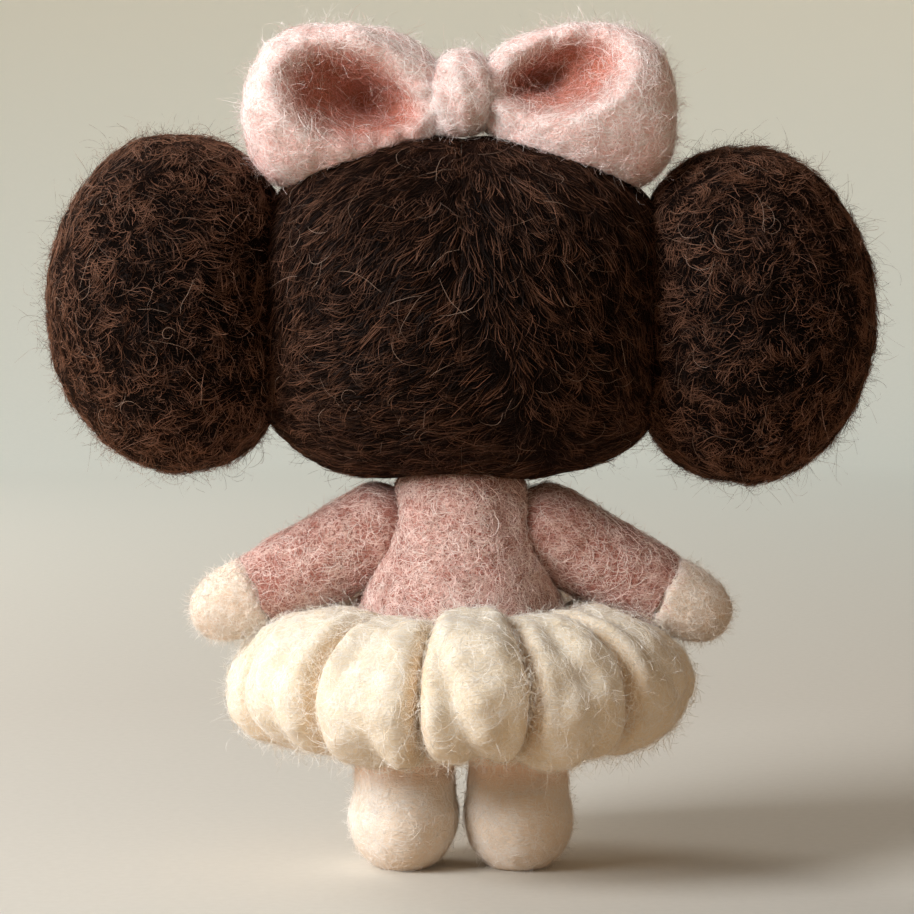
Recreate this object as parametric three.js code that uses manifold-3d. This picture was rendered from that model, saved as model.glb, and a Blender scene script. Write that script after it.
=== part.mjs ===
// A needle-felted ballerina doll, about 100 mm tall, standing on two round feet.
// Millimetres, +Z up. The floor is z = 0, the doll looks along -Y and its left hand is at +X.
// The wool pieces are felted round a wire armature: a spine, a shoulder wire and one in each limb.
// The head turns on the neck. Each arm lifts on the round end that sits in its shoulder socket.

import * as THREE from "three";
import { mergeVertices } from "three/addons/utils/BufferGeometryUtils.js";
import Module from "manifold-3d";

const wasm = await Module();
wasm.setup();

// Clearances
const feltGap = 0.35; // between two wool pieces that lie against each other
const jointGap = 0.45; // between pieces that move past each other
const wireGap = 0.35; // round a wire in its channel

// Feet and legs
const footWidth = 12.8;
const footLength = 16.2;
const footHeight = 13.4;
const footSpacing = 13.6; // between the middles of the two feet
const footBack = 0.3; // how far the middle of a foot lies behind the spine, under the doll's weight
const soleCut = 1; // depth of wool pressed flat under each foot
const legWidth = 11.8; // where it joins the torso
const ankleWidth = 11;
const legSpacing = 13.4;
const legShow = 4.1; // between the top of a foot and the bottom of the torso

// Torso, a pear shape, and its neck
const torsoHeight = 32.1;
const hipRadius = 12.4;
const hipHeight = 11; // of the fullest section, above the torso's bottom
const chestRadius = 8.1;
const chestDrop = 3.6; // below the torso's top
const seatRadius = 8.9; // of the section just above the torso's bottom
const seatHeight = 1.8; // of that section above the torso's bottom
const collarRadius = 4.9; // of the section just below the torso's top
const collarDrop = 0.4; // of that section below the torso's top
const bodiceThickness = 1.8;
const bodiceHem = 7.2; // height of the bodice's lower edge above the torso's bottom
const neckRadius = 4.6;
const neckHeight = 3.6; // how far the neck stands out of the torso, inside the head

// Skirt, a ring of plump wool puffs
const skirtPuffs = 12;
const skirtRadius = 27.2;
const skirtThickness = 19; // from its outer edge to its inner end in the torso
const skirtHeight = 16.8;
const skirtRise = 6.6; // of the skirt's middle above the torso's bottom
const skirtLean = 1.5; // how far a puff's outer end hangs below its middle
const skirtTurn = 3.5; // degrees between the middle puff and the doll's back
const puffCorner = 0.52; // 1 makes a puff oval in plan, less fills more of its share of the ring

// Arms
const shoulderSpread = 20; // between the two shoulder joints
const shoulderDrop = 8.9; // below the torso's top
const armDroop = 26.6; // degrees below level
const shoulderWidth = 11.3; // across the round shoulder end
const cuffWidth = 8.9;
const sleeveLength = 15.6; // from the shoulder joint to the edge of the cuff
const sleeveThickness = 1.4;
const sleeveTaper = 1.4; // exponent of the narrowing from shoulder to cuff, more keeps it wide for longer
const handWidth = 8.8;
const handLength = 10;
const handReach = 24; // from the shoulder joint to the fingertips

// Head, its widest level is its middle
const headWidth = 49;
const headDepth = 42;
const crownHeight = 20.4; // above the middle
const jawHeight = 20; // below the middle
const crownCorner = 2.75; // exponent of the outline above the middle, 2 is an ellipse
const jawCorner = 3.2; // the same below the middle
const headSink = 2.6; // how far the top of the torso reaches into the head
const hairThickness = 2.1;
const partingWidth = 0.5;

// Face opening in the hair, and the fringe that hangs into it
const faceWidth = 31;
const faceHeight = 31;
const faceDrop = 5.6; // of its middle, below the head's middle
const fringeArchWidth = 28; // of the oval that the fringe leaves free
const fringeArchHeight = 24.6;

// Face
const eyeWidth = 4.2; // of the stitched arc of a closed eye
const eyeSag = 1.3;
const eyeSpacing = 13.4;
const eyeDrop = 4; // below the head's middle, as are the next heights
const noseWidth = 2.6;
const noseHeight = 2.1;
const noseDrop = 7.4;
const cheekWidth = 5.6;
const cheekThickness = 1.6;
const cheekSpacing = 20;
const cheekDrop = 8.4;
const smileWidth = 4.6;
const smileDrop = 10.6;
const smileSag = 0.9;
const threadWidth = 0.7;

// Hair puffs at the sides of the head
const puffOffset = 33.7; // from the spine to a puff's fullest section
const puffOuter = 15; // from there to its outer side
const puffInner = 14; // from there to the inner side, which the head cuts
const puffHeight = 39.6;
const puffDepth = 33;
const puffOuterCorner = 1.95;
const puffInnerCorner = 2.5;
const puffLift = 0.7; // how far the left puff sits above the head's middle, and the right one below it

// Bow
const bowRise = 4.7; // of the knot's middle above the crown
const bowBack = 3.4; // how far the bow sits behind the spine
const loopStart = 1.2; // from the knot's middle to a loop's inner end, inside the knot
const loopEnd = 25.4; // from the knot's middle to a loop's outer end
const loopHeight = 19.8;
const loopDepth = 15;
const loopSag = 2.3; // how far a loop's outer end hangs below the knot's middle
const loopFullness = 0.76; // less puts a loop's fullest section further out
const loopCorner = 2.6;
const knotWidth = 7.2;
const knotHeight = 9.2;
const knotDepth = 11;
const hollowOffset = 12.4; // from the knot's middle to the middle of a loop's hollow
const hollowWidth = 13;
const hollowHeight = 9;
const hollowDepth = 4.4;

// Armature
const wireWidth = 1.2;
const spineSink = 26; // how far the spine wire reaches below the torso's top
const spineRise = 13; // and above it, into the head
const shoulderWireLength = 5.2;
const shoulderWireBow = 0.2; // how far its middle bends round the spine wire
const legWireRise = 9; // above the torso's bottom
const legWireDrop = 11; // below the torso's bottom, into the foot
const armWireMargin = 3.6; // from the fingertips to the wire's end

// Facets of the round forms: around, and from pole to pole
const headFacets = [22, 14];
const hairPuffFacets = [16, 12];
const loopFacets = [16, 12];
const skirtPuffFacets = [10, 7];
const torsoFacets = 18;

const left = 1;
const right = -1;

// Levels that stack from the floor up
const footMiddle = footHeight / 2 - soleCut;
const torsoBottom = footHeight - soleCut + legShow;
const torsoTop = torsoBottom + torsoHeight;
const headMiddle = torsoTop - headSink + jawHeight;
const skirtMiddle = torsoBottom + skirtRise;
const hemLevel = torsoBottom + bodiceHem;

// A closed three.js geometry as a solid that can be joined and cut.
function solidOf(geometry) {
  const bare = new THREE.BufferGeometry();
  bare.setAttribute("position", geometry.getAttribute("position"));
  bare.setIndex(geometry.index);
  const merged = mergeVertices(bare, 1e-4);
  return new wasm.Manifold(
    new wasm.Mesh({
      numProp: 3,
      vertProperties: merged.attributes.position.array,
      triVerts: new Uint32Array(merged.index.array),
    }),
  );
}

// A solid as a three.js geometry.
function geometryOf(solid) {
  const mesh = solid.getMesh();
  const geometry = new THREE.BufferGeometry();
  geometry.setAttribute("position", new THREE.BufferAttribute(mesh.vertProperties, 3));
  geometry.setIndex(new THREE.BufferAttribute(mesh.triVerts, 1));
  geometry.computeVertexNormals();
  return geometry;
}

function cut(solid, ...cutters) {
  return cutters.reduce((rest, cutter) => rest.subtract(cutter), solid);
}

function join(...solids) {
  return solids.reduce((all, solid) => all.add(solid));
}

// A round form: place(point) moves each point of a unit sphere whose poles are on Z.
function form(around, down, place) {
  const geometry = new THREE.SphereGeometry(1, around, down).rotateX(Math.PI / 2);
  const position = geometry.getAttribute("position");
  const point = new THREE.Vector3();
  for (let i = 0; i < position.count; i++) {
    place(point.fromBufferAttribute(position, i));
    position.setXYZ(i, point.x, point.y, point.z);
  }
  return geometry;
}

function ellipsoid(middle, radii, around = 14, down = 9) {
  return form(around, down, (p) => p.multiply(radii).add(middle));
}

// How far an outline with half sizes a and b reaches along a direction. Corner 2 is an ellipse.
function outlineReach(x, z, a, b, corner) {
  return (Math.abs(x / a) ** corner + Math.abs(z / b) ** corner) ** (-1 / corner);
}

// A form whose outline, seen from the back, has the sizes [a, b, corner] that sizesAt(x, z) gives.
function outlinedForm(around, down, halfDepth, sizesAt) {
  return form(around, down, (p) => {
    const spread = Math.hypot(p.x, p.z) || 1;
    const x = p.x / spread;
    const z = p.z / spread;
    const reach = x === 0 && z === 0 ? 0 : spread * outlineReach(x, z, ...sizesAt(x, z));
    p.set(x * reach, p.y * halfDepth, z * reach);
  });
}

// A geometry turned about Z from points (radius, height) that start and end on the axis.
function turned(points, around) {
  return new THREE.LatheGeometry(points, around).rotateX(Math.PI / 2);
}

// Points moved outwards by grow along their outline's own normals, with both ends on the axis.
function grown(points, grow) {
  return points.map((p, i) => {
    if (i === 0) return new THREE.Vector2(0, p.y - grow);
    if (i === points.length - 1) return new THREE.Vector2(0, p.y + grow);
    const along = new THREE.Vector2().subVectors(points[i + 1], points[i - 1]).normalize();
    return p.clone().addScaledVector(new THREE.Vector2(along.y, -along.x), grow);
  });
}

// A straight upright rod from one height to another.
function rod(x, y, bottom, top, width, sides = 8) {
  const geometry = new THREE.CylinderGeometry(width / 2, width / 2, top - bottom, sides);
  return solidOf(geometry.rotateX(Math.PI / 2).translate(x, y, (top + bottom) / 2));
}

// A round strand that follows a curve.
function strand(curve, width, steps, sides = 8) {
  const section = new THREE.Shape().absarc(0, 0, width / 2, 0, 2 * Math.PI, false);
  return solidOf(
    new THREE.ExtrudeGeometry(section, { extrudePath: curve, steps, curveSegments: sides / 2 }),
  );
}

// A block between two corners.
function block(low, high) {
  const size = new THREE.Vector3().subVectors(high, low);
  const middle = new THREE.Vector3().addVectors(low, high).multiplyScalar(0.5);
  const geometry = new THREE.BoxGeometry(size.x, size.y, size.z);
  return solidOf(geometry.translate(middle.x, middle.y, middle.z));
}

// Wool, thread and wire
const wool = (color, roughness = 0.95) =>
  new THREE.MeshStandardMaterial({ color, roughness, metalness: 0 });
const skinWool = wool(0xf1dfcb);
const coreWool = wool(0xefe9dc);
const pinkWool = wool(0xcf9a97);
const bowWool = wool(0xdcb0a8);
const creamWool = wool(0xf0e8d6);
const hairWool = wool(0x35221c);
const blushWool = wool(0xdd9c93);
const mouthThread = wool(0x9c5b55, 0.8);
const eyeThread = wool(0x2a1b17, 0.8);
const wireSteel = wool(0xa9a9a6, 0.35);
wireSteel.metalness = 1;

const doll = new THREE.Group();
const headGroup = new THREE.Group();
headGroup.position.z = headMiddle;
doll.add(headGroup);

function add(group, name, solid, material) {
  const mesh = new THREE.Mesh(geometryOf(solid), material);
  mesh.name = name;
  group.add(mesh);
}

const sideName = (side) => (side === left ? "left" : "right");

// Torso shape
const torsoPoints = new THREE.SplineCurve([
  new THREE.Vector2(0, torsoBottom),
  new THREE.Vector2(seatRadius, torsoBottom + seatHeight),
  new THREE.Vector2(hipRadius, torsoBottom + hipHeight),
  new THREE.Vector2((hipRadius + chestRadius) / 2, (torsoBottom + hipHeight + torsoTop) / 2),
  new THREE.Vector2(chestRadius, torsoTop - chestDrop),
  new THREE.Vector2(collarRadius, torsoTop - collarDrop),
  new THREE.Vector2(0, torsoTop),
]).getPoints(11);
const torsoForm = (grow) => solidOf(turned(grown(torsoPoints, grow), torsoFacets));
const neckForm = (grow) => {
  const bottom = torsoTop - 2 * chestDrop;
  return rod(0, 0, bottom, torsoTop + neckHeight + grow, 2 * (neckRadius + grow), 14);
};
const belowHem = (gap) =>
  block(
    new THREE.Vector3(-2 * hipRadius, -2 * hipRadius, 0),
    new THREE.Vector3(2 * hipRadius, 2 * hipRadius, hemLevel + gap),
  );

// Arm shape, along +Z from the shoulder joint, with its round end below the joint
const shoulderRadius = shoulderWidth / 2;
const handMiddle = handReach - handLength / 2;
const cuffEdge = sleeveLength + feltGap / 2;
const sleeveForm = (grow, length) => {
  const roundEnd = new THREE.Path().absarc(0, 0, shoulderRadius + grow, -Math.PI / 2, 0, false);
  const taper = [0.36, 0.7, 1].map((share) => {
    const slimmer = (share ** sleeveTaper * (shoulderWidth - cuffWidth)) / 2;
    return new THREE.Vector2(shoulderRadius + grow - slimmer, share * sleeveLength);
  });
  const cuff = new THREE.Vector2(cuffWidth / 2 + grow, length);
  return turned([...roundEnd.getPoints(4), ...taper, cuff, new THREE.Vector2(0, length)], 12);
};
const handForm = (grow) => {
  const across = handWidth / 2 + grow;
  const radii = new THREE.Vector3(across, across, handLength / 2 + grow);
  return ellipsoid(new THREE.Vector3(0, 0, handMiddle), radii, 12, 8);
};
const armMatrix = (side) =>
  new THREE.Matrix4()
    .makeTranslation((side * shoulderSpread) / 2, 0, torsoTop - shoulderDrop)
    .multiply(new THREE.Matrix4().makeRotationY(side * THREE.MathUtils.degToRad(90 + armDroop)));
const armClearance = (side) =>
  join(
    solidOf(sleeveForm(jointGap, cuffEdge + jointGap).applyMatrix4(armMatrix(side))),
    solidOf(handForm(jointGap).applyMatrix4(armMatrix(side))),
  );
const bothArms = armClearance(left).add(armClearance(right));

// Wires
const spineWire = (grow) => {
  const bottom = torsoTop - spineSink - grow;
  return rod(0, 0, bottom, torsoTop + spineRise + grow, wireWidth + 2 * grow);
};
const shoulderWire = (grow) => {
  const half = shoulderWireLength / 2 + grow;
  const height = torsoTop - shoulderDrop;
  const back = wireWidth + wireGap;
  const curve = new THREE.QuadraticBezierCurve3(
    new THREE.Vector3(half, back, height),
    new THREE.Vector3(0, back + shoulderWireBow, height),
    new THREE.Vector3(-half, back, height),
  );
  return strand(curve, wireWidth + 2 * grow, 4);
};
const legWire = (side, grow) => {
  const bottom = torsoBottom - legWireDrop - grow;
  const top = torsoBottom + legWireRise + grow;
  return rod((side * legSpacing) / 2, 0, bottom, top, wireWidth + 2 * grow);
};
const armWire = (grow) => {
  const top = handReach - armWireMargin + grow;
  return rod(0, 0, sleeveThickness - shoulderRadius, top, wireWidth + 2 * grow);
};

// Body core and bodice
const bodiceSpace = cut(torsoForm(1), torsoForm(-bodiceThickness), belowHem(0));
const bodyCore = cut(
  join(cut(torsoForm(0), bodiceSpace), neckForm(0)),
  bothArms,
  spineWire(wireGap),
  shoulderWire(wireGap),
  legWire(left, wireGap),
  legWire(right, wireGap),
);
add(doll, "body_core", bodyCore, coreWool);
const bodice = cut(
  torsoForm(0),
  torsoForm(feltGap - bodiceThickness),
  belowHem(feltGap),
  neckForm(feltGap),
  bothArms,
);
add(doll, "bodice", bodice, pinkWool);
add(doll, "spine_wire", spineWire(0), wireSteel);
add(doll, "shoulder_wire", shoulderWire(0), wireSteel);

// Legs and feet
const footForm = (side, grow) =>
  solidOf(
    ellipsoid(
      new THREE.Vector3((side * footSpacing) / 2, footBack, footMiddle),
      new THREE.Vector3(footWidth / 2, footLength / 2, footHeight / 2).addScalar(grow),
    ),
  );
const legForm = (side, grow) => {
  const top = torsoBottom + hipHeight / 2;
  const geometry = new THREE.CylinderGeometry(
    legWidth / 2 + grow,
    ankleWidth / 2 + grow,
    top - footMiddle + 2 * grow,
    14,
  );
  geometry.rotateX(Math.PI / 2).translate((side * legSpacing) / 2, 0, (top + footMiddle) / 2);
  return solidOf(geometry);
};
const underFloor = block(
  new THREE.Vector3(-2 * footSpacing, -2 * footLength, -footHeight),
  new THREE.Vector3(2 * footSpacing, 2 * footLength, 0),
);
for (const side of [left, right]) {
  const channel = legWire(side, wireGap);
  const foot = cut(footForm(side, 0), underFloor, channel);
  add(doll, `foot_${sideName(side)}`, foot, skinWool);
  const leg = cut(legForm(side, 0), footForm(side, feltGap), torsoForm(feltGap), channel);
  add(doll, `leg_${sideName(side)}`, leg, skinWool);
  add(doll, `leg_wire_${sideName(side)}`, legWire(side, 0), wireSteel);
}

// Skirt
const puffShare = (2 * Math.PI) / skirtPuffs;
for (let i = 0; i < skirtPuffs; i++) {
  const middleAngle = Math.PI / 2 + THREE.MathUtils.degToRad(skirtTurn) + i * puffShare;
  const puff = form(...skirtPuffFacets, (p) => {
    const radius = skirtRadius - (skirtThickness * (1 - p.x)) / 2;
    const halfShare = puffShare / 2 - feltGap / 2 / radius;
    const angle = middleAngle + Math.sign(p.y) * Math.abs(p.y) ** puffCorner * halfShare;
    const height = skirtMiddle - p.x * skirtLean + (p.z * skirtHeight) / 2;
    p.set(radius * Math.cos(angle), radius * Math.sin(angle), height);
  });
  const number = String(i + 1).padStart(2, "0");
  const puffSolid = cut(
    solidOf(puff),
    torsoForm(feltGap),
    bothArms,
    legForm(left, feltGap),
    legForm(right, feltGap),
  );
  add(doll, `skirt_puff_${number}`, puffSolid, creamWool);
}

// Arms
for (const side of [left, right]) {
  const armGroup = new THREE.Group();
  armGroup.applyMatrix4(armMatrix(side));
  doll.add(armGroup);
  const innerArm = solidOf(sleeveForm(-sleeveThickness, handMiddle));
  const arm = cut(join(innerArm, solidOf(handForm(0))), armWire(wireGap));
  const sleeve = cut(
    solidOf(sleeveForm(0, cuffEdge)),
    solidOf(sleeveForm(feltGap - sleeveThickness, handMiddle)),
    solidOf(handForm(feltGap)),
  );
  add(armGroup, `arm_${sideName(side)}`, arm, skinWool);
  add(armGroup, `sleeve_${sideName(side)}`, sleeve, pinkWool);
  add(armGroup, `arm_wire_${sideName(side)}`, armWire(0), wireSteel);
}

// Head, in its own group whose origin is the head's middle
const headSizes = (grow) => (x, z) =>
  z > 0
    ? [headWidth / 2 + grow, crownHeight + grow, crownCorner]
    : [headWidth / 2 + grow, jawHeight + grow, jawCorner];
const headForm = (grow) => solidOf(outlinedForm(...headFacets, headDepth / 2 + grow, headSizes(grow)));
const coreGrow = -hairThickness;
const neckSocket = join(torsoForm(jointGap), neckForm(jointGap), spineWire(wireGap)).translate([
  0,
  0,
  -headMiddle,
]);

// The point of the face at x and z.
function onFace(x, z) {
  const reach = outlineReach(x, z, ...headSizes(coreGrow)(x, z));
  const depth = headDepth / 2 + coreGrow;
  return new THREE.Vector3(x, -depth * Math.sqrt(1 - reach ** -2), z);
}

// An oval block that goes through the front half of the head.
function faceCutter(x, z, width, height) {
  const oval = new THREE.Shape().absellipse(x, z, width / 2, height / 2, 0, 2 * Math.PI);
  const geometry = new THREE.ExtrudeGeometry(oval, {
    depth: headDepth,
    bevelEnabled: false,
    curveSegments: 10,
  });
  return solidOf(geometry.rotateX(Math.PI / 2));
}

// The stitches and felt pads are pressed into the face and keep their gap in it.
const stitch = (x, z, width, sag, grow) => {
  const points = [-1, -0.5, 0, 0.5, 1].map((t) =>
    onFace(x + t * (width / 2 + grow), z - sag * (1 - t * t)),
  );
  return strand(new THREE.CatmullRomCurve3(points), threadWidth + 2 * grow, 6, 6);
};
const eyeForm = (side, grow) =>
  stitch((side * eyeSpacing) / 2, -eyeDrop, eyeWidth, eyeSag, grow);
const smileForm = (grow) => stitch(0, -smileDrop, smileWidth, smileSag, grow);
const cheekForm = (side, grow) => {
  const radii = new THREE.Vector3(cheekWidth, cheekThickness, cheekWidth).multiplyScalar(0.5);
  const pad = ellipsoid(new THREE.Vector3(), radii.addScalar(grow), 10, 6);
  const middle = onFace((side * cheekSpacing) / 2, -cheekDrop);
  const turn = Math.atan2(middle.x, -middle.y);
  return solidOf(pad.rotateZ(turn).translate(middle.x, middle.y, middle.z));
};
const noseForm = (grow) => {
  const radii = new THREE.Vector3(noseWidth, noseWidth, noseHeight).multiplyScalar(0.5);
  return solidOf(ellipsoid(onFace(0, -noseDrop), radii.addScalar(grow), 10, 6));
};
const faceFeatures = join(
  eyeForm(left, feltGap),
  eyeForm(right, feltGap),
  cheekForm(left, feltGap),
  cheekForm(right, feltGap),
  noseForm(feltGap),
  smileForm(feltGap),
);
add(headGroup, "head_core", cut(headForm(coreGrow), neckSocket, faceFeatures), skinWool);
add(headGroup, "nose", noseForm(0), skinWool);
add(headGroup, "mouth_stitch", smileForm(0), mouthThread);

// Hair: two halves with a parting between them, a fringe and a puff on each side
const hairShell = cut(headForm(0), headForm(coreGrow + feltGap), neckSocket);
const faceOpening = faceCutter(0, -faceDrop, faceWidth, faceHeight);
const fringeArea = faceCutter(0, -faceDrop, faceWidth - 2 * feltGap, faceHeight - 2 * feltGap);
const archMiddle = (fringeArchHeight - faceHeight) / 2 - faceDrop;
const fringeArch = faceCutter(0, archMiddle, fringeArchWidth, fringeArchHeight);
const underFringe = block(
  new THREE.Vector3(-headWidth, -headDepth, -headWidth),
  new THREE.Vector3(headWidth, headDepth, archMiddle),
);
for (const side of [left, right]) {
  const otherHalf = block(
    new THREE.Vector3(side === left ? -headWidth : -partingWidth / 2, -headDepth, -headWidth),
    new THREE.Vector3(side === left ? partingWidth / 2 : headWidth, headDepth, headWidth),
  );
  add(headGroup, `eye_${sideName(side)}`, eyeForm(side, 0), eyeThread);
  add(headGroup, `cheek_${sideName(side)}`, cheekForm(side, 0), blushWool);
  add(headGroup, `hair_${sideName(side)}`, cut(hairShell, faceOpening, otherHalf), hairWool);
  const fringe = cut(hairShell.intersect(fringeArea), underFringe, fringeArch, otherHalf);
  add(headGroup, `fringe_${sideName(side)}`, fringe, hairWool);

  const puffSizes = (x) =>
    x * side > 0
      ? [puffOuter, puffHeight / 2, puffOuterCorner]
      : [puffInner, puffHeight / 2, puffInnerCorner];
  const puff = outlinedForm(...hairPuffFacets, puffDepth / 2, puffSizes);
  puff.translate(side * puffOffset, 0, side * puffLift);
  add(headGroup, `hair_puff_${sideName(side)}`, cut(solidOf(puff), headForm(feltGap)), hairWool);
}

// Bow, tied at the crown
const bowMiddle = crownHeight + bowRise;
const knotForm = (grow) =>
  solidOf(
    ellipsoid(
      new THREE.Vector3(0, bowBack, bowMiddle),
      new THREE.Vector3(knotWidth / 2, knotDepth / 2, knotHeight / 2).addScalar(grow),
      14,
    ),
  );
add(headGroup, "bow_knot", cut(knotForm(0), headForm(feltGap)), bowWool);
for (const side of [left, right]) {
  const loop = form(...loopFacets, (p) => {
    const along = ((1 + p.z) / 2) ** loopFullness;
    const corner = p.z > 0 ? loopCorner : 2;
    const swell = (1 - Math.min(Math.abs(p.z), 1) ** corner) ** (1 / corner);
    const spread = Math.hypot(p.x, p.y) || 1;
    p.set(
      side * (loopStart + along * (loopEnd - loopStart)),
      bowBack + ((side * p.x) / spread) * swell * (loopDepth / 2),
      bowMiddle - along * loopSag + (p.y / spread) * swell * (loopHeight / 2),
    );
  });
  const hollow = ellipsoid(
    new THREE.Vector3(side * hollowOffset, bowBack + loopDepth / 2, bowMiddle - loopSag / 2),
    new THREE.Vector3(hollowWidth / 2, hollowDepth, hollowHeight / 2),
  );
  const loopSolid = cut(solidOf(loop), solidOf(hollow), knotForm(feltGap), headForm(feltGap));
  add(headGroup, `bow_loop_${sideName(side)}`, loopSolid, bowWool);
}

export default doll;
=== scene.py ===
# %% [markdown]
# # A needle-felted ballerina doll
#
# The doll is about 100 mm tall and is made of loose wool, pricked with a barbed needle until it holds its shape.
# Felt has two layers to the eye: a firm, slightly lumpy body, and the single fibres that lie on it or stand off it.
# This lesson builds both. Each wool piece is a closed form with a felt finish, and thousands of thin ribbons of
# wool are then laid over it, because a bump alone keeps the outline sharp, and a felted outline is never sharp.
#
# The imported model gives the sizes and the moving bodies: the torso, the head and the two arms.

import math

import bmesh
import bpy
import numpy as np
from mathutils import Matrix, Vector
from mathutils.bvhtree import BVHTree
from mathutils.kdtree import KDTree


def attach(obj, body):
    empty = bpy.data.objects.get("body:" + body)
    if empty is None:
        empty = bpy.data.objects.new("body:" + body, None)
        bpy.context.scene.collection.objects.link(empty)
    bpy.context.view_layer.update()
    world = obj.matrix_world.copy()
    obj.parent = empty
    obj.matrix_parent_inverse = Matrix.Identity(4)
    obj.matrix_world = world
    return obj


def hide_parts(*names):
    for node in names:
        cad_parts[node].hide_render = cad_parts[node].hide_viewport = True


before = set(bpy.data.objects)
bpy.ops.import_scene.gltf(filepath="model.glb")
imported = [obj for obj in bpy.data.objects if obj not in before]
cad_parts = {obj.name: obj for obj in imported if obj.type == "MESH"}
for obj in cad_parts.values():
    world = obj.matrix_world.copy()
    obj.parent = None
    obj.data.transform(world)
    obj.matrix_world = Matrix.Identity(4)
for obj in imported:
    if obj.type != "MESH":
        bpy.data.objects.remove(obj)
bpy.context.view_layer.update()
mm = 0.001

# %% [markdown]
# ## The camera and the light
#
# The camera looks at the doll's back from 4 degrees above level, with a long lens, so the two hair puffs keep
# their true size. The light is one large soft window high on the left, with a weak fill on the right, so that
# the left of each ball is pale and its right is deep in tone. The floor turns up into a wall all round, so that
# no horizon line shows from any side.

# %% The camera
camera = bpy.data.objects.new("camera", bpy.data.cameras.new("camera"))
bpy.context.scene.collection.objects.link(camera)
camera_target = Vector((0.5 * mm, 0, 48.6 * mm))
camera_height = math.radians(4)
camera_distance = 410 * mm
camera_direction = Vector((0, math.cos(camera_height), math.sin(camera_height)))
camera.location = camera_target + camera_distance * camera_direction
camera.rotation_euler = (camera_target - camera.location).to_track_quat("-Z", "Y").to_euler()
camera.data.angle = math.radians(15)
camera.data.clip_start = 0.01
bpy.context.scene.camera = camera
print("camera", [round(c, 3) for c in camera.location])


# %% The lamps and the world
def window(name, place, size, power, color):
    """A square soft light that faces the doll's middle."""
    light = bpy.data.lights.new(name, "AREA")
    light.size, light.energy, light.color = size, power, color
    lamp = bpy.data.objects.new(name, light)
    lamp.location = place
    lamp.rotation_euler = (Vector((0, 0, 50 * mm)) - lamp.location).to_track_quat("-Z", "Y").to_euler()
    bpy.context.scene.collection.objects.link(lamp)


window("window_left", Vector((0.5, 0.275, 0.33)), 0.32, 4.8, (0.985, 0.975, 0.96))
window("fill_right", Vector((-0.55, 0.30, 0.20)), 0.40, 0.15, (1.0, 0.8, 0.6))
window("back_left", Vector((0.44, -0.40, 0.42)), 0.30, 1.9, (1.0, 0.95, 0.88))
world = bpy.data.worlds.new("studio")
world.use_nodes = True
world.node_tree.nodes["Background"].inputs["Color"].default_value = (0.97, 0.8, 0.62, 1)
world.node_tree.nodes["Background"].inputs["Strength"].default_value = 0.17
bpy.context.scene.world = world
bpy.context.scene.view_settings.view_transform = "Standard"
print("lamps", len(bpy.data.lights))

# %% [markdown]
# ## A way to write materials
#
# A material is a small tree of nodes. Here each output of a node is wrapped in a class whose plus, minus and
# times signs add Math nodes, so that a finish reads like a formula.


# %% Formulas for materials
class Tone:
    """An output in a material's node tree. Signs between tones and numbers add Math nodes."""

    def __init__(self, socket):
        self.socket = socket

    def node(self, kind, inputs, output=0, **settings):
        """Adds any node to the same tree, and gives one of its outputs."""
        node = self.socket.id_data.nodes.new(kind)
        for key, value in settings.items():
            setattr(node, key, value)
        for key, value in inputs.items():
            if isinstance(value, Tone):
                self.socket.id_data.links.new(value.socket, node.inputs[key])
            else:
                node.inputs[key].default_value = value
        return Tone(node.outputs[output])

    def maths(self, operation, *values, clamp=False):
        inputs = dict(enumerate(values))
        return self.node("ShaderNodeMath", inputs, operation=operation, use_clamp=clamp)

    def __add__(self, other):
        return self.maths("ADD", self, other)

    def __radd__(self, other):
        return self.maths("ADD", other, self)

    def __sub__(self, other):
        return self.maths("SUBTRACT", self, other)

    def __rsub__(self, other):
        return self.maths("SUBTRACT", other, self)

    def __mul__(self, other):
        return self.maths("MULTIPLY", self, other)

    def held(self):
        """The same value, kept between 0 and 1."""
        return self.maths("ADD", self, 0, clamp=True)


def between(share, low, high):
    """A colour that goes from low to high as share goes from 0 to 1."""
    inputs = {0: share}
    for key, value in ((6, low), (7, high)):
        inputs[key] = value if isinstance(value, Tone) else (*value, 1)
    return share.node("ShaderNodeMix", inputs, output=2, data_type="RGBA")


def new_finish(name):
    """An empty material: its tree, its shader node, and the object coordinates to start from."""
    material = bpy.data.materials.new(name)
    material.use_nodes = True
    nodes = material.node_tree.nodes
    shader = nodes["Principled BSDF"]
    place = Tone(nodes.new("ShaderNodeTexCoord").outputs["Object"])
    return material, shader, place


def connect(shader, **tones):
    """Joins tones to the shader's sockets, named with underscores for spaces."""
    for name, tone in tones.items():
        shader.id_data.links.new(tone.socket, shader.inputs[name.replace("_", " ")])


# %% [markdown]
# ## The felt finish
#
# Close up, felt is a mat of fibres that cross each other, with pits where the needle went in. Three sets
# of long thin noise, each turned another way, give the crossing fibres. The brightest of the three wins at each
# point, as the fibre on top does. Broad noise gives the cloudy tone of hand-laid wool, and a coarser noise cut
# off low gives the pits, whose deep tone is painted shade. The same values drive the colour and the bump, so
# light and relief agree.


# %% The felt finish
def in_tones(tone, deep, middle, pale):
    """A colour that goes from deep over middle to pale as tone goes from 0 to 1."""
    low = between((tone * 2).held(), deep, middle)
    return between((tone * 2 - 1).held(), low, pale)


def painted_shade_upwards(place, color, blush, start, end):
    """A colour that turns into another one from one height to the next, used for painted shade."""
    height = place.node("ShaderNodeSeparateXYZ", {"Vector": place}, output="Z")
    share = ((height - start) * (1 / (end - start))).held()
    return between(share, color, blush)


def soften(shader, sheen, spread, glow, shine):
    """The glow that fine fibres give a form towards its edge, and how much the wool shines."""
    shader.inputs["Sheen Weight"].default_value = sheen
    shader.inputs["Sheen Roughness"].default_value = spread
    shader.inputs["Sheen Tint"].default_value = (*glow, 1)
    shader.inputs["Specular IOR Level"].default_value = shine


soft_white = (1, 0.93, 0.86)
rust = (0.55, 0.22, 0.12)
fibre_width = 0.12 * mm


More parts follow.
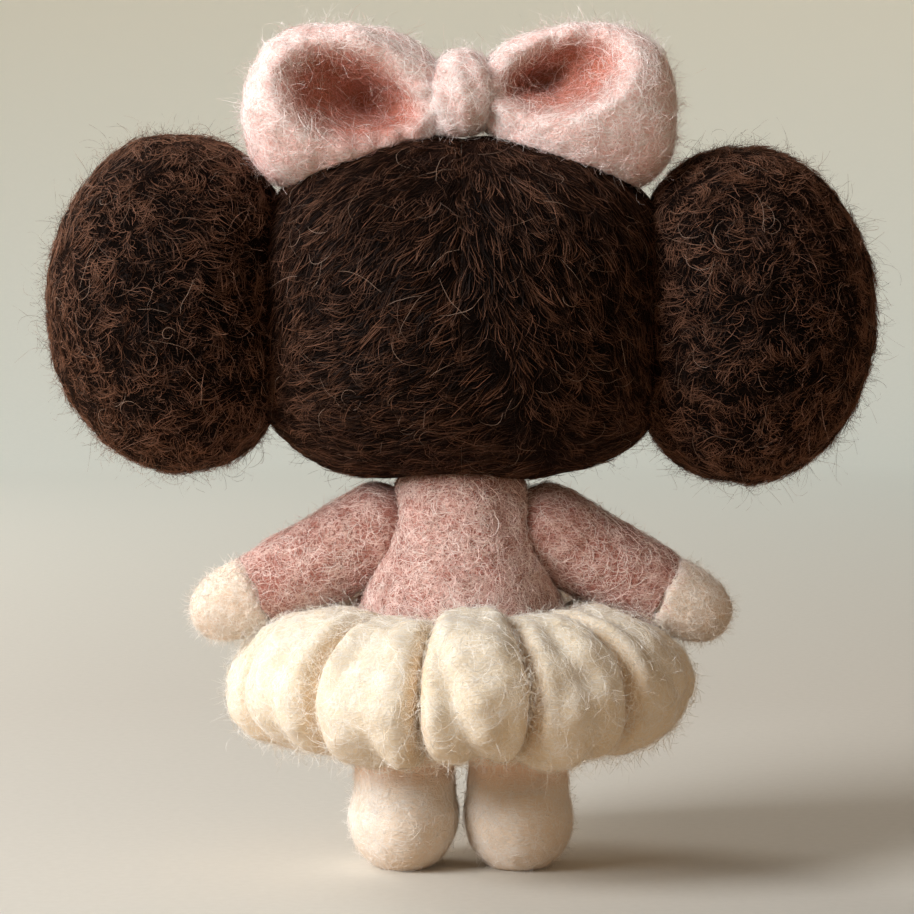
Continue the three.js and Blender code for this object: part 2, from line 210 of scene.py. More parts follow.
def felt(
    name, tones, pits=0.35, cloud=5 * mm, sheen=0.35, glow=soft_white,
    relief=0.6, shade_upwards=None, inner=None, shine=0.25,
):
    """A mat of crossing fibres, from the deep tone in its pits, which is painted shade, to the pale one of its top
    fibres. A colour may also take over with height, between two heights given with it: painted shade. inner is the
    painted shade colour down in the hollows and creases that a piece is marked with."""
    material, shader, place = new_finish(name)
    mat = None
    for turn in ((0.3, 0.5, 0.2), (1.4, 0.3, 1.1), (0.7, 1.3, 2.2)):
        scale = (0.16 / fibre_width, 1 / fibre_width, 1 / fibre_width)
        turned = place.node("ShaderNodeMapping", {"Vector": place, "Rotation": turn, "Scale": scale})
        noise = {"Vector": turned, "Scale": 0.55, "Detail": 2.0, "Distortion": 0.6}
        fibres = place.node("ShaderNodeTexNoise", noise)
        mat = fibres if mat is None else mat.maths("MAXIMUM", mat, fibres)
    broad = place.node("ShaderNodeTexNoise", {"Vector": place, "Scale": 1 / cloud, "Detail": 3.0})
    pricks = place.node("ShaderNodeTexNoise", {"Vector": place, "Scale": 0.4 / fibre_width, "Detail": 1.0})
    # Painted shade: each pit is given a deep tone, deepest where it dips.
    pit = ((0.42 - pricks) * 9).held() * pits
    top = ((mat - 0.52) * 3.2).held()
    color = in_tones((broad * 0.9 + top * 0.75 - 0.42 - pit).held(), *tones)
    # Painted shade that takes over with height, where it is given.
    if shade_upwards:
        color = painted_shade_upwards(place, color, *shade_upwards)
    # Painted shade down in the hollows and creases that the piece is marked with.
    if inner:
        marked = place.node("ShaderNodeAttribute", {}, output="Fac", attribute_name="hollow")
        color = between(marked, color, inner)
    height = top * 0.6 + broad * 0.8 - pit * 1.2
    bump = place.node("ShaderNodeBump", {"Height": height, "Strength": relief, "Distance": 0.2 * mm})
    connect(shader, Base_Color=color, Normal=bump, Roughness=1 - top * 0.15)
    soften(shader, sheen, 0.45, glow, shine)
    return material


# Painted shade: the legs turn a warm orange upwards from 9.6 to 16.5 mm, for the shade under the skirt.
painted_skirt_shade = ((0.94, 0.52, 0.28), 9.6 * mm, 16.5 * mm)
hair_felt = felt(
    "hair_felt", ((0.001, 0.0006, 0.0005), (0.005, 0.0026, 0.0018), (0.02, 0.01, 0.007)),
    cloud=2 * mm, sheen=0.06, glow=rust, relief=0.8, shine=0.06,
)
# Painted shade: the bow's felt is a deep rose down in its hollows.
bow_felt = felt(
    "bow_felt", ((0.88, 0.6, 0.56), (0.96, 0.88, 0.87), (0.98, 0.96, 0.955)),
    cloud=2.5 * mm, glow=(1, 0.93, 0.9), relief=0.9, inner=(0.52, 0.19, 0.12),
)
bodice_felt = felt(
    "bodice_felt", ((0.42, 0.16, 0.125), (0.8, 0.55, 0.49), (0.93, 0.8, 0.75)),
    pits=0.7, cloud=3 * mm, sheen=0.25, glow=(1, 0.85, 0.8), relief=1.0,
)
# Painted shade: the skirt's felt turns tan down in the creases between its rolls.
skirt_felt = felt(
    "skirt_felt", ((0.89, 0.79, 0.62), (0.94, 0.9, 0.82), (0.97, 0.955, 0.92)),
    pits=0.15, cloud=3 * mm, sheen=0.3, inner=(0.9, 0.66, 0.4),
)
skin_felt = felt(
    "skin_felt", ((0.82, 0.65, 0.5), (0.92, 0.85, 0.77), (0.96, 0.93, 0.88)),
    pits=0.12, cloud=3 * mm, sheen=0.3, relief=0.7,
)
leg_felt = felt(
    "leg_felt", ((0.93, 0.82, 0.7), (0.98, 0.955, 0.92), (0.99, 0.98, 0.965)),
    pits=0.08, cloud=3 * mm, sheen=0.3, relief=0.7, shade_upwards=painted_skirt_shade,
)
core_felt = felt("core_felt", ((0.6, 0.55, 0.45), (0.8, 0.76, 0.67), (0.9, 0.87, 0.8)), pits=0.2)
blush_felt = felt("blush_felt", ((0.72, 0.38, 0.32), (0.86, 0.56, 0.5), (0.93, 0.72, 0.66)), pits=0.1)
print("felts", len(bpy.data.materials))


# %% The finish of single fibres
def fibre_finish(name, *tones, roughness=0.7, sheen=0.2, glow=soft_white, shine=0.25, shade_upwards=None):
    """The finish of single fibres: each has its own tone, stored with the ribbon, and is uneven along it. In
    some coats that tone also holds painted shade and light.
    """
    material, shader, place = new_finish(name)
    own = place.node("ShaderNodeAttribute", {}, output="Fac", attribute_name="tone")
    uneven = place.node("ShaderNodeTexNoise", {"Vector": place, "Scale": 1 / (1.5 * mm), "Detail": 2.0})
    color = in_tones((own + (uneven - 0.5) * 0.5).held(), *tones)
    # Painted shade that takes over with height, where it is given.
    if shade_upwards:
        color = painted_shade_upwards(place, color, *shade_upwards)
    connect(shader, Base_Color=color, Roughness=roughness + (uneven - 0.5) * 0.2)
    soften(shader, sheen, 0.4, glow, shine)
    return material


def hair_finish(name, *tones, sheen=0.3, shine=0.1):
    return fibre_finish(name, *tones, roughness=0.6, sheen=sheen, glow=rust, shine=shine)


hair_fibre = hair_finish("hair_fibre", (0.001, 0.0006, 0.0005), (0.016, 0.0075, 0.005), (0.22, 0.108, 0.068))
# Painted light: the fuzz is paler than the fibres, for the brown glow of fine wool with light behind it.
hair_fuzz = hair_finish("hair_fuzz", (0.02, 0.009, 0.006), (0.12, 0.056, 0.036), (0.34, 0.19, 0.13), sheen=0.35)
curl_tones = ((0.05, 0.03, 0.022), (0.16, 0.1, 0.075), (0.38, 0.27, 0.21))
hair_curl = hair_finish("hair_curl", *curl_tones, sheen=0.03, shine=0.2)
bow_fibre = fibre_finish("bow_fibre", (0.7, 0.28, 0.22), (0.96, 0.89, 0.88), (0.99, 0.98, 0.98))
bodice_fibre = fibre_finish("bodice_fibre", (0.5, 0.22, 0.18), (0.87, 0.68, 0.63), (0.97, 0.91, 0.88))
skirt_fibre = fibre_finish("skirt_fibre", (0.88, 0.72, 0.48), (0.96, 0.945, 0.9), (0.99, 0.98, 0.96))
skin_fibre = fibre_finish("skin_fibre", (0.84, 0.68, 0.54), (0.95, 0.9, 0.84), (0.98, 0.96, 0.93))
leg_tones = ((0.94, 0.84, 0.74), (0.98, 0.965, 0.94), (0.99, 0.985, 0.98))
leg_fibre = fibre_finish("leg_fibre", *leg_tones, shade_upwards=painted_skirt_shade)


print("finishes", len(bpy.data.materials))

# %% [markdown]
# ## Sizes and neighbours
#
# The wool pieces are pressed against each other, so each one has to know where its neighbours are. A neighbour
# is given by a test: is this point inside it? A piece is then modelled whole, and every point that falls in a
# neighbour slides back towards the piece's own middle until it is free, as soft wool gives way.

# %% Sizes of the forms
head_middle = 66.0 * mm
head_half = np.array([24.5, 21.0, 20.4]) * mm
jaw_half = 20.0 * mm
crown_corner, jaw_corner = 2.75, 3.2
torso_levels = [(0, 16.5), (8.9, 18.3), (12.4, 27.5), (10.25, 38.05), (8.1, 45.0), (4.9, 48.2), (0, 48.6)]
hem_level = 23.7 * mm
torso_top, neck_top, neck_radius = 48.6 * mm, 52.2 * mm, 4.6 * mm
shoulder = np.array([10.0, 0, 39.7]) * mm
arm_droop = math.radians(26.6)
shoulder_radius, cuff_radius, sleeve_length = 5.65 * mm, 4.45 * mm, 15.6 * mm
hand_middle, hand_half = 19.0 * mm, np.array([4.4, 4.4, 5.0]) * mm
foot_middle = np.array([6.8, 0.3, 5.7]) * mm
foot_half = np.array([6.4, 8.1, 6.7]) * mm
leg_spread, leg_radius = 6.7 * mm, 5.9 * mm
skirt_radius, skirt_middle, skirt_height = 27.2 * mm, 23.1 * mm, 16.8 * mm
puff_middle = np.array([33.7, 0, 66.0]) * mm
knot_middle = np.array([0, 3.4, 91.1]) * mm
knot_half = np.array([3.6, 5.5, 4.6]) * mm
sides = {"left": 1, "right": -1}


def smooth_line(points, steps=12):
    """A smooth line through some points, as an array of (radius, height) in metres."""
    points = np.array([points[0], *points, points[-1]], float) * mm
    t = np.linspace(0, 1, steps, endpoint=False)[:, None]
    spans = []
    for a, b, c, d in zip(points, points[1:], points[2:], points[3:]):
        square, cube = 2 * a - 5 * b + 4 * c - d, 3 * b - a - 3 * c + d
        spans.append(0.5 * (2 * b + (c - a) * t + square * t**2 + cube * t**3))
    return np.vstack([*spans, points[-1:]])


torso_line = smooth_line(torso_levels)
torso_line[:, 0] = np.maximum(torso_line[:, 0], 0)
print("torso line", len(torso_line), "points")


# %% Tests for the neighbours
def in_torso(points, grow=0.35 * mm):
    """Inside the torso, or inside the neck that stands out of it."""
    radius = np.hypot(points[:, 0], points[:, 1])
    height = points[:, 2]
    limit = np.interp(height, torso_line[:, 1], torso_line[:, 0], left=-1, right=-1)
    body = (limit >= 0) & (radius < limit + grow)
    lid = (np.abs(height - torso_top) < grow) & (radius < 5 * mm)
    neck = (radius < neck_radius + grow) & (height > 41 * mm) & (height < neck_top + grow)
    return body | lid | neck


def arm_direction(side):
    return np.array([side * math.cos(arm_droop), 0, -math.sin(arm_droop)])


def arm_frame(points, side):
    """How far along the arm each point is, and how far from its middle line."""
    direction = arm_direction(side)
    offset = points - shoulder * (side, 1, 1)
    along = offset @ direction
    return along, np.linalg.norm(offset - along[:, None] * direction, axis=1)


def sleeve_radius(along):
    share = np.clip(along / sleeve_length, 0, 1)
    straight = shoulder_radius - share**1.4 * (shoulder_radius - cuff_radius)
    rounded = np.sqrt(np.maximum(shoulder_radius**2 - along**2, 0))
    return np.where(along < 0, rounded, straight)


def hand_radius(along):
    """A hand is as wide as the cuff where it leaves the sleeve, and round at its end."""
    leaving = np.clip((along - 15.0 * mm) / (0.9 * mm), 0, 1)
    ending = np.clip((along - 16 * mm) / (8 * mm), 0, 1)
    return 4.5 * mm * (0.7 + 0.27 * leaving * leaving) * (1 - ending**2.6) ** 0.45


def in_arm(points, grow=0.45 * mm):
    inside = np.zeros(len(points), bool)
    for side in sides.values():
        along, across = arm_frame(points, side)
        sleeve = (along > -shoulder_radius - grow) & (along < sleeve_length + grow)
        rounded = np.sqrt(np.maximum((shoulder_radius + grow) ** 2 - along**2, 0))
        inside |= sleeve & (across < np.where(along < 0, rounded, sleeve_radius(along) + grow))
        palm = ((along - hand_middle) / (hand_half[2] + grow)) ** 2 + (across / (hand_half[0] + grow)) ** 2
        inside |= palm < 1
        inside |= (along > sleeve_length) & (along < 23.6 * mm) & (across < hand_radius(along) + grow)
    return inside


def in_legs(points, grow=0.3 * mm):
    inside = np.zeros(len(points), bool)
    for side in sides.values():
        across = np.hypot(points[:, 0] - side * leg_spread, points[:, 1])
        inside |= (across < leg_radius + grow) & (points[:, 2] < 24 * mm)
    return inside


def head_share(points, grow=0.0):
    """1 on the head's surface, less inside it."""
    x, y, z = (points - (0, 0, head_middle)).T
    tall = np.where(z > 0, head_half[2], jaw_half) + grow
    corner = np.where(z > 0, crown_corner, jaw_corner)
    wide = np.abs(x / (head_half[0] + grow)) ** corner + np.abs(z / tall) ** corner
    return np.sqrt(wide ** (2 / corner) + (y / (head_half[1] + grow)) ** 2)


def in_head(points, grow=0.25 * mm):
    return head_share(points, grow) < 1


def in_knot(points, grow=0.15 * mm):
    return (((points - knot_middle) / (knot_half + grow)) ** 2).sum(1) < 1


def pressed(points, anchor, *neighbours, steps=90):
    """Each point that lies in a neighbour slides towards the anchor until it is clear."""
    result = points.copy()
    anchor = np.broadcast_to(anchor, points.shape)
    for share in np.linspace(0, 0.95, steps)[1:]:
        caught = np.any([inside(result) for inside in neighbours], axis=0)
        if not caught.any():
            break
        result[caught] = points[caught] + (anchor[caught] - points[caught]) * share
    return result


# %% Lumps of hand-made wool
def waves(points, size, seed, count=16):
    """Smooth uneven noise, about -1 to 1, made of waves that run in all directions."""
    rng = np.random.default_rng(seed)
    directions = rng.normal(size=(count, 3))
    lengths = np.linalg.norm(directions, axis=1)
    directions *= (rng.uniform(0.6, 1.5, count) * 2 * math.pi / size / lengths)[:, None]
    return np.sin(points @ directions.T + rng.uniform(0, 2 * math.pi, count)).sum(1) * 0.7 / math.sqrt(count)


def lumpy(points, middle, broad, fine, seed):
    """Pushes points in and out from a middle by broad and fine lumps, given by their heights."""
    away = points - middle
    away = away / np.maximum(np.linalg.norm(away, axis=1), 1e-6)[:, None]
    height = broad * waves(points, 11 * mm, seed) + fine * waves(points, 3.2 * mm, seed + 1)
    return points + away * height[:, None]


# %% [markdown]
# ## Making a wool piece
#
# A ball starts as an icosphere, whose faces are all alike, so that no pole shows in the wool. A function of the
# piece's own then moves its points to the form. Every piece is stuffed and felted hard. Most pieces come in pairs,
# whose two sides differ by a sign.


def unit(vectors):
    return vectors / np.maximum(np.linalg.norm(vectors, axis=-1, keepdims=True), 1e-9)


def ball(detail):
    bm = bmesh.new()
    bmesh.ops.create_icosphere(bm, subdivisions=detail, radius=1)
    return bm


def placed(name, data, finish):
    """A mesh or a curve with its finish, as an object of the scene."""
    data.materials.append(finish)
    piece = bpy.data.objects.new(name, data)
    bpy.context.scene.collection.objects.link(piece)
    return piece


def wool_piece(node, bm, finish, body, place, *given, wall=0.0, name=None):
    """Moves the points to their places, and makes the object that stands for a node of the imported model."""
    name = name or f"wool_{node}"
    for vert, point in zip(bm.verts, place(np.array([vert.co for vert in bm.verts]), *given)):
        vert.co = point
    bmesh.ops.recalc_face_normals(bm, faces=bm.faces)
    middle = sum((face.calc_center_median() for face in bm.faces), Vector()) / len(bm.faces)
    if sum((face.calc_center_median() - middle).dot(face.normal) * face.calc_area() for face in bm.faces) < 0:
        bmesh.ops.reverse_faces(bm, faces=bm.faces)
    mesh = bpy.data.meshes.new(name)
    bm.to_mesh(mesh)
    bm.free()
    mesh.shade_smooth()
    piece = placed(name, mesh, finish)
    if wall:
        shell = piece.modifiers.new("wall", "SOLIDIFY")
        shell.thickness, shell.offset = wall, -1
    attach(piece, body)
    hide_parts(node)
    return piece


def pair(node, forms, finish, body, place, wall=0.0):
    """A left and a right piece, from the two meshes to start with. A body's name may hold {} for the side."""
    made = {}
    for (name, side), bm in zip(sides.items(), forms):
        made[name] = wool_piece(f"{node}_{name}", bm, finish, body.format(name), place, side, wall=wall)
    print(node, "left and right", len(made["left"].data.polygons), "faces each")
    return made


# %% [markdown]
# ## The head and its hair
#
# The head is a rounded square, a little deeper at the crown. The hair is wool laid over it in two halves from a
# parting, so each half is half a sphere, bent to the head's outline and opened where the face is. The pole of the
# half sphere lies at the side, where the hair puff covers it. A Solidify modifier then gives the layer its wall.


# %% The head
def on_head(directions, grow=0.0):
    """The points of the head's surface for unit directions."""
    x, y, z = directions.T
    spread = np.maximum(np.hypot(x, z), 1e-9)
    tall = np.where(z > 0, head_half[2], jaw_half) + grow
    corner = np.where(z > 0, crown_corner, jaw_corner)
    wide = np.abs(x / spread / (head_half[0] + grow)) ** corner + np.abs(z / spread / tall) ** corner
    reach = wide ** (-1 / corner)
    return np.stack([x * reach, y * (head_half[1] + grow), z * reach + head_middle], axis=1)


def place_head(p):
    points = on_head(p, -2.1 * mm)
    out, up = np.abs(points[:, 0]) - 9 * mm, points[:, 2] - 57 * mm
    cheeks = 0.5 * mm * np.exp(-((out / (5 * mm)) ** 2) - (up / (5 * mm)) ** 2)
    points[:, 1] -= np.where(points[:, 1] < 0, cheeks, 0)
    return pressed(lumpy(points, head_center, 0.12 * mm, 0.05 * mm, 3), head_center, in_torso)


head_center = np.array([0, 0, head_middle])
head_ball = wool_piece("head_core", ball(5), skin_felt, "head", place_head, name="wool_head")
print("head", len(head_ball.data.vertices), "points")

# %% The hair in two halves
opening_middle, opening_radius = head_middle - 5.6 * mm, 15.5 * mm


def half_shell(side):
    """Half a sphere on one side of the parting, with its pole at the ear."""
    bm = bmesh.new()
    bmesh.ops.create_uvsphere(bm, u_segments=128, v_segments=88, radius=1)
    bmesh.ops.rotate(bm, verts=bm.verts, matrix=Matrix.Rotation(math.radians(90), 3, "Y"))
    everything = bm.verts[:] + bm.edges[:] + bm.faces[:]
    cut = {"plane_co": (0, 0, 0), "plane_no": (-side, 0, 0), "clear_outer": True}
    bmesh.ops.bisect_plane(bm, geom=everything, dist=1e-4, **cut)
    return bm


def place_hair(p, side):
    """A point goes from the parting towards the ear. In front it starts where the face's opening ends."""
    turn = np.arctan2(p[:, 2], p[:, 1])
    rise = np.arcsin(np.clip(np.abs(p[:, 0]), 0, 1))

    def at(rise):
        back_and_up = np.cos(rise) * np.stack([np.cos(turn), np.sin(turn)])
        return on_head(np.stack([side * np.sin(rise), *back_and_up], axis=1))

    start = np.zeros(len(p))
    for step in np.linspace(0, math.pi / 2, 300):
        points = at(np.full(len(p), step))
        in_opening = np.hypot(points[:, 0], points[:, 2] - opening_middle) < opening_radius
        start[(points[:, 1] < 0) & in_opening] = step
    points = at(start + rise * (1 - start / (math.pi / 2)))
    points = lumpy(points, head_center, 0.18 * mm, 0.1 * mm, 11)
    high = np.clip((points[:, 2] - 68 * mm) / (14 * mm), 0, 1)
    sunk = 0.45 * mm * high * np.exp(-((points[:, 0] / (1.2 * mm)) ** 2))
    points -= unit(points - head_center) * sunk[:, None]
    points[:, 0] = side * np.maximum(side * points[:, 0], 0.03 * mm)
    return pressed(points, head_center, in_torso)


hair = pair("hair", [half_shell(1), half_shell(-1)], hair_felt, "head", place_hair, wall=1.7 * mm)


# %% The fringe
def fringe_grid():
    bm = bmesh.new()
    bmesh.ops.create_grid(bm, x_segments=56, y_segments=16, size=1)
    return bm


def place_fringe(p, side):
    """A grid between the face opening's edge and the arch that the fringe leaves free."""
    turn = (p[:, 0] + 1) * math.pi / 4
    share = (p[:, 1] + 1) / 2
    arch_middle = -8.8 * mm
    arch = np.stack([14.0 * mm * np.cos(turn), arch_middle + 12.3 * mm * np.sin(turn)], axis=1)
    edge = np.stack([15.2 * mm * np.cos(turn), -5.6 * mm + 15.2 * mm * np.sin(turn)], axis=1)
    edge[:, 1] = np.maximum(edge[:, 1], arch_middle)
    flat = arch + (edge - arch) * share[:, None]
    flat[:, 0] = side * np.maximum(flat[:, 0], 0.15 * mm)
    points = np.stack([flat[:, 0], np.zeros(len(p)), flat[:, 1] + head_middle], axis=1)
    points[:, 1] = -head_half[1] * np.sqrt(np.maximum(1 - head_share(points) ** 2, 0))
    rounding = 0.5 * mm * np.exp(-(share / 0.15)) + 0.5 * mm * np.exp(-((points[:, 0] / (0.9 * mm)) ** 2))
    points[:, 1] += rounding
    return lumpy(points, head_center, 0.2 * mm, 0.1 * mm, 17)


fringe = pair("fringe", [fringe_grid(), fringe_grid()], hair_felt, "head", place_fringe, wall=1.6 * mm)

# %% [markdown]
# ## The hair puffs
#
# Each puff is an upright oval of the same dark wool, fuller on its outer side. It is pressed against the head, so
# its inner side takes the head's shape.


# %% The hair puffs
def place_hair_puff(p, side):
    middle = puff_middle * (side, 1, 1) + (0, 0, side * 0.7 * mm)
    x, y, z = p.T
    spread = np.maximum(np.hypot(x, z), 1e-9)
    outer = x * side > 0
    wide = np.where(outer, 15.0, 14.0) * mm
    corner = np.where(outer, 1.95, 2.5)
    reach = (np.abs(x / spread / wide) ** corner + np.abs(z / spread / (19.8 * mm)) ** corner) ** (-1 / corner)
    points = np.stack([x * reach, y * 16.5 * mm, z * reach], axis=1) + middle
    points = lumpy(points, middle, 0.2 * mm, 0.14 * mm, 20 + side)
    return pressed(points, middle, in_head)


hair_puffs = pair("hair_puff", [ball(6), ball(6)], hair_felt, "head", place_hair_puff)

# %% [markdown]
# ## The bow
#
# Each loop is a plump roll that narrows to the knot and opens on the side that is seen, with a hollow that runs
# out in a fold at the knot. The hollow is pushed into the finished form, deepest in its middle. Each point also
# stores how deep in a hollow it lies, and the finish paints a deeper rose there as shade.

# %% The bow's hollows
hollows = {
    1: [((13.2, 90.9), (9.6, 10.4, 7.0), 6.8), ((10.2, 90.3), (5.8, 7.6, 3.4), 3.0)],
    -1: [((12.2, 93.2), (8.6, 9.0, 5.7), 6.4), ((8.8, 92.7), (5.0, 6.0, 2.6), 2.6)],
}


def hollow_depth(out, level, side):
    """How deep a side's hollows are at a point. Each has its middle, its reach outwards, towards the knot and
    up or down, and its depth, in mm."""
    total = 0
    for middle, half, depth in hollows[side]:
        across, up = out - middle[0] * mm, level - middle[1] * mm
        up = up - 0.2 * across
        share = np.hypot(across / (np.where(across > 0, half[0], half[1]) * mm), up / (half[2] * mm))
        deep = np.clip((1 - share) * 1.3, 0, 1)
        total = total + depth * mm * deep * deep * (3 - 2 * deep)
    return total


def hollow_share(points):
    """0 on a loop's outer roll, up to 1 at the bottom of its hollow."""
    out = np.abs(points[:, 0])
    left, right = (hollow_depth(out, points[:, 2], side) for side in (1, -1))
    front = (1.5 - 2.7 * np.clip((out - 7 * mm) / (4 * mm), 0, 1)) * mm
    return np.clip(np.where(points[:, 0] > 0, left, right) / (4.2 * mm), 0, 1) * (points[:, 1] > front)


def mark(piece, share):
    """Stores how deep in a hollow or crease each point lies, for the finish to paint shade there."""
    points = np.array([vert.co for vert in piece.data.vertices])
    stored = piece.data.attributes.new("hollow", "FLOAT", "POINT")
    stored.data.foreach_set("value", share(points).astype(np.float32))


print("hollows", sum(len(found) for found in hollows.values()))


# %% The bow's loops and knot
def place_loop(p, side):
    middle = knot_middle + (side * 14 * mm, 0, -1.2 * mm)
    x, y, z = p.T
    along = ((1 + z) / 2) ** 0.76
    corner = np.where(z > 0, 2.6, 2.0)
    swell = np.maximum(1 - np.minimum(np.abs(z), 1) ** corner, 0) ** (1 / corner)
    spread = np.maximum(np.hypot(x, y), 1e-9)
    out = side * (1.2 + along * 23.7) * mm
    back = side * x / spread * swell * 7.5 * mm
    up = -along * 2.5 * mm + y / spread * swell * 9.6 * mm
    points = np.stack([out, back, up], axis=1) + knot_middle
    points = lumpy(points, middle, 0.35 * mm, 0.15 * mm, 30 + side)
    deep = hollow_depth(side * points[:, 0], points[:, 2], side)
    points[:, 1] += np.where(points[:, 1] > knot_middle[1], -deep, 0.1 * deep)
    _, back, up = (points - knot_middle).T
    folds = 0.5 * mm * np.sin(np.arctan2(up, back) * 9 + side)
    near = np.exp(-np.maximum(side * points[:, 0] - 3 * mm, 0) / (4 * mm))
    points += unit((points - middle) * (0, 1, 1)) * ((folds + 0.5 * mm) * near)[:, None]
    return pressed(points, middle, in_head, in_knot)


def place_knot(p):
    points = knot_middle + p * (knot_half + np.array([0.7, 0.0, 0.6]) * mm)
    around = np.arctan2(p[:, 1], p[:, 0])
    creases = 0.16 * mm * np.sin(around * 9 + p[:, 2] * 2)
    points += unit((points - knot_middle) * (1, 1, 0)) * creases[:, None]
    return pressed(lumpy(points, knot_middle, 0.2 * mm, 0.12 * mm, 40), knot_middle, in_head)


loops = pair("bow_loop", [ball(6), ball(6)], bow_felt, "head", place_loop)
for loop in loops.values():
    mark(loop, hollow_share)
knot = wool_piece("bow_knot", ball(5), bow_felt, "head", place_knot)

# %% [markdown]
# ## The body
#
# The body core is white wool, and the bodice is a layer of rose wool over it. Both are turned: half an outline is
# spun once round the spine. The bodice gives way where the round ends of the sleeves sit.


# %% The body core and the bodice
def spun(line, steps=72):
    """A surface turned about the Z axis from a line of (radius, height)."""
    bm = bmesh.new()
    verts = [bm.verts.new((radius, 0, height)) for radius, height in line]
    edges = [bm.edges.new(ends) for ends in zip(verts, verts[1:])]
    turn = {"cent": (0, 0, 0), "axis": (0, 0, 1), "dvec": (0, 0, 0), "angle": 2 * math.pi}
    bmesh.ops.spin(bm, geom=verts + edges, steps=steps, use_merge=True, **turn)
    bmesh.ops.remove_doubles(bm, verts=bm.verts, dist=1e-6)
    return bm


def spine_at(points):
    return points * (0, 0, 1)


def place_core(p):
    return pressed(p, spine_at(p), in_arm)


def place_bodice(p):
    away = unit(p * (1, 1, 0))
    height = 0.22 * mm * waves(p, 9 * mm, 50) + 0.1 * mm * waves(p, 3 * mm, 51)
    return pressed(p + away * height[:, None], spine_at(p), in_arm)


core_line = torso_line.copy()
covered = core_line[:, 1] > hem_level
core_line[covered, 0] = np.maximum(core_line[covered, 0] - 1.9 * mm, 0)
core_line[covered, 1] = np.minimum(core_line[covered, 1], 46.7 * mm)
neck_line = np.array([(4.5, 46.6), (4.5, 51.8), (3.8, 52.2), (0, 52.2)]) * mm
core_line = np.vstack([core_line[core_line[:, 1] <= 45 * mm], neck_line])
wool_piece("body_core", spun(core_line), core_felt, "torso", place_core)
clothed = torso_line[(torso_line[:, 1] > hem_level + 0.3 * mm) & (torso_line[:, 0] > 4.9 * mm)]
levels = np.linspace(clothed[0, 1], clothed[-1, 1], 60)
bodice_line = np.stack([np.interp(levels, clothed[:, 1], clothed[:, 0]), levels], axis=1)
bodice = wool_piece("bodice", spun(bodice_line, 140), bodice_felt, "torso", place_bodice, wall=1.4 * mm)
print("bodice", len(bodice.data.polygons), "faces")

# %% [markdown]
# ## The skirt
#
# Twelve rolls of cream wool stand side by side round the waist. Each fills its share of the ring and swells
# against the next one, so only narrow soft creases are left between them. Hand-laid rolls aren't alike: each has
# its own size, its own lumps and three shallow creases of its own. Down between the rolls the wool is painted a
# deeper cream as shade, so the rolls are marked like the bow.

# %% The skirt
puff_count = 12
first_turn = 93.5


def place_skirt_puff(p, number):
    rng = np.random.default_rng(70 + number)
    share = math.pi / puff_count
    middle_angle = math.radians(first_turn) + number * 2 * share
    longer, taller, hang = rng.uniform(-0.5, 0.4) * mm, rng.uniform(0.97, 1.04), rng.uniform(-0.4, 0.4) * mm
    if number == 0:
        longer, taller, hang = 0.3 * mm, 1.0, -0.7 * mm
    creases = [(rng.uniform(-0.7, 0.7), rng.uniform(-0.5, 0.5), rng.uniform(0.3, 0.9) * mm) for _ in range(3)]
    middle = np.array([math.cos(middle_angle) * 19 * mm, math.sin(middle_angle) * 19 * mm, skirt_middle])
    y = np.clip(1.5 * p[:, 1] - 0.5 * p[:, 1] ** 3, -1, 1)
    ring = (1 - np.abs(y) ** 8) ** 0.34
    x, z = (p[:, (0, 2)] / np.maximum(np.hypot(p[:, 0], p[:, 2]), 1e-6)[:, None] * ring[:, None]).T
    radius = skirt_radius + longer - 19 * mm * (1 - x) / 2
    angle = middle_angle + y * (share - 0.06 * mm / radius)
    height = skirt_middle - x * 1.5 * mm - hang + z * skirt_height / 2 * taller
    points = np.stack([radius * np.cos(angle), radius * np.sin(angle), height], axis=1)
    inward = np.zeros(len(p))
    for place_across, slant, depth in creases:
        line = y - place_across - slant * z
        inward += depth * np.exp(-((line / 0.24) ** 2)) * np.clip(x + 0.4, 0, 1)
    away = unit(points - middle)
    lumps = 0.4 * mm * waves(points, 7 * mm, 80 + number) + 0.16 * mm * waves(points, 3.4 * mm, 95 + number)
    bulge = (1 - np.abs(y)) * 0.3 * mm * np.clip(x, 0, 1)
    points = points + away * ((lumps - inward + bulge) * (1 - 0.85 * np.abs(y) ** 3))[:, None]
    return pressed(points, middle, in_torso, in_arm, in_legs)


def crease_share(points):
    """0 on the middle of a roll, 1 down between it and the next one."""
    half = 180 / puff_count
    turn = (np.degrees(np.arctan2(points[:, 1], points[:, 0])) - first_turn + half) % (2 * half) - half
    return np.clip((np.abs(turn) / half - 0.7) / 0.3, 0, 1) ** 1.5


skirt = []
for number in range(puff_count):
    node = f"skirt_puff_{number + 1:02d}"
    skirt.append(wool_piece(node, ball(5), skirt_felt, "torso", place_skirt_puff, number))
    mark(skirt[-1], crease_share)
print("skirt", len(skirt), "puffs")

# %% [markdown]
# ## Legs, feet and arms
#
# Each foot is a ball pressed flat underneath, and the leg is a short post that runs down into it. An arm is one
# long form with the round hand at its end, inside a sleeve of rose wool whose edge thins out over the wrist.


# %% The legs and feet
def place_foot(p, side):
    middle = foot_middle * (side, 1, 1)
    points = lumpy(middle + p * foot_half, middle, 0.15 * mm, 0.08 * mm, 110 + side)
    points[:, 2] = np.maximum(points[:, 2], 0.0)
    return points


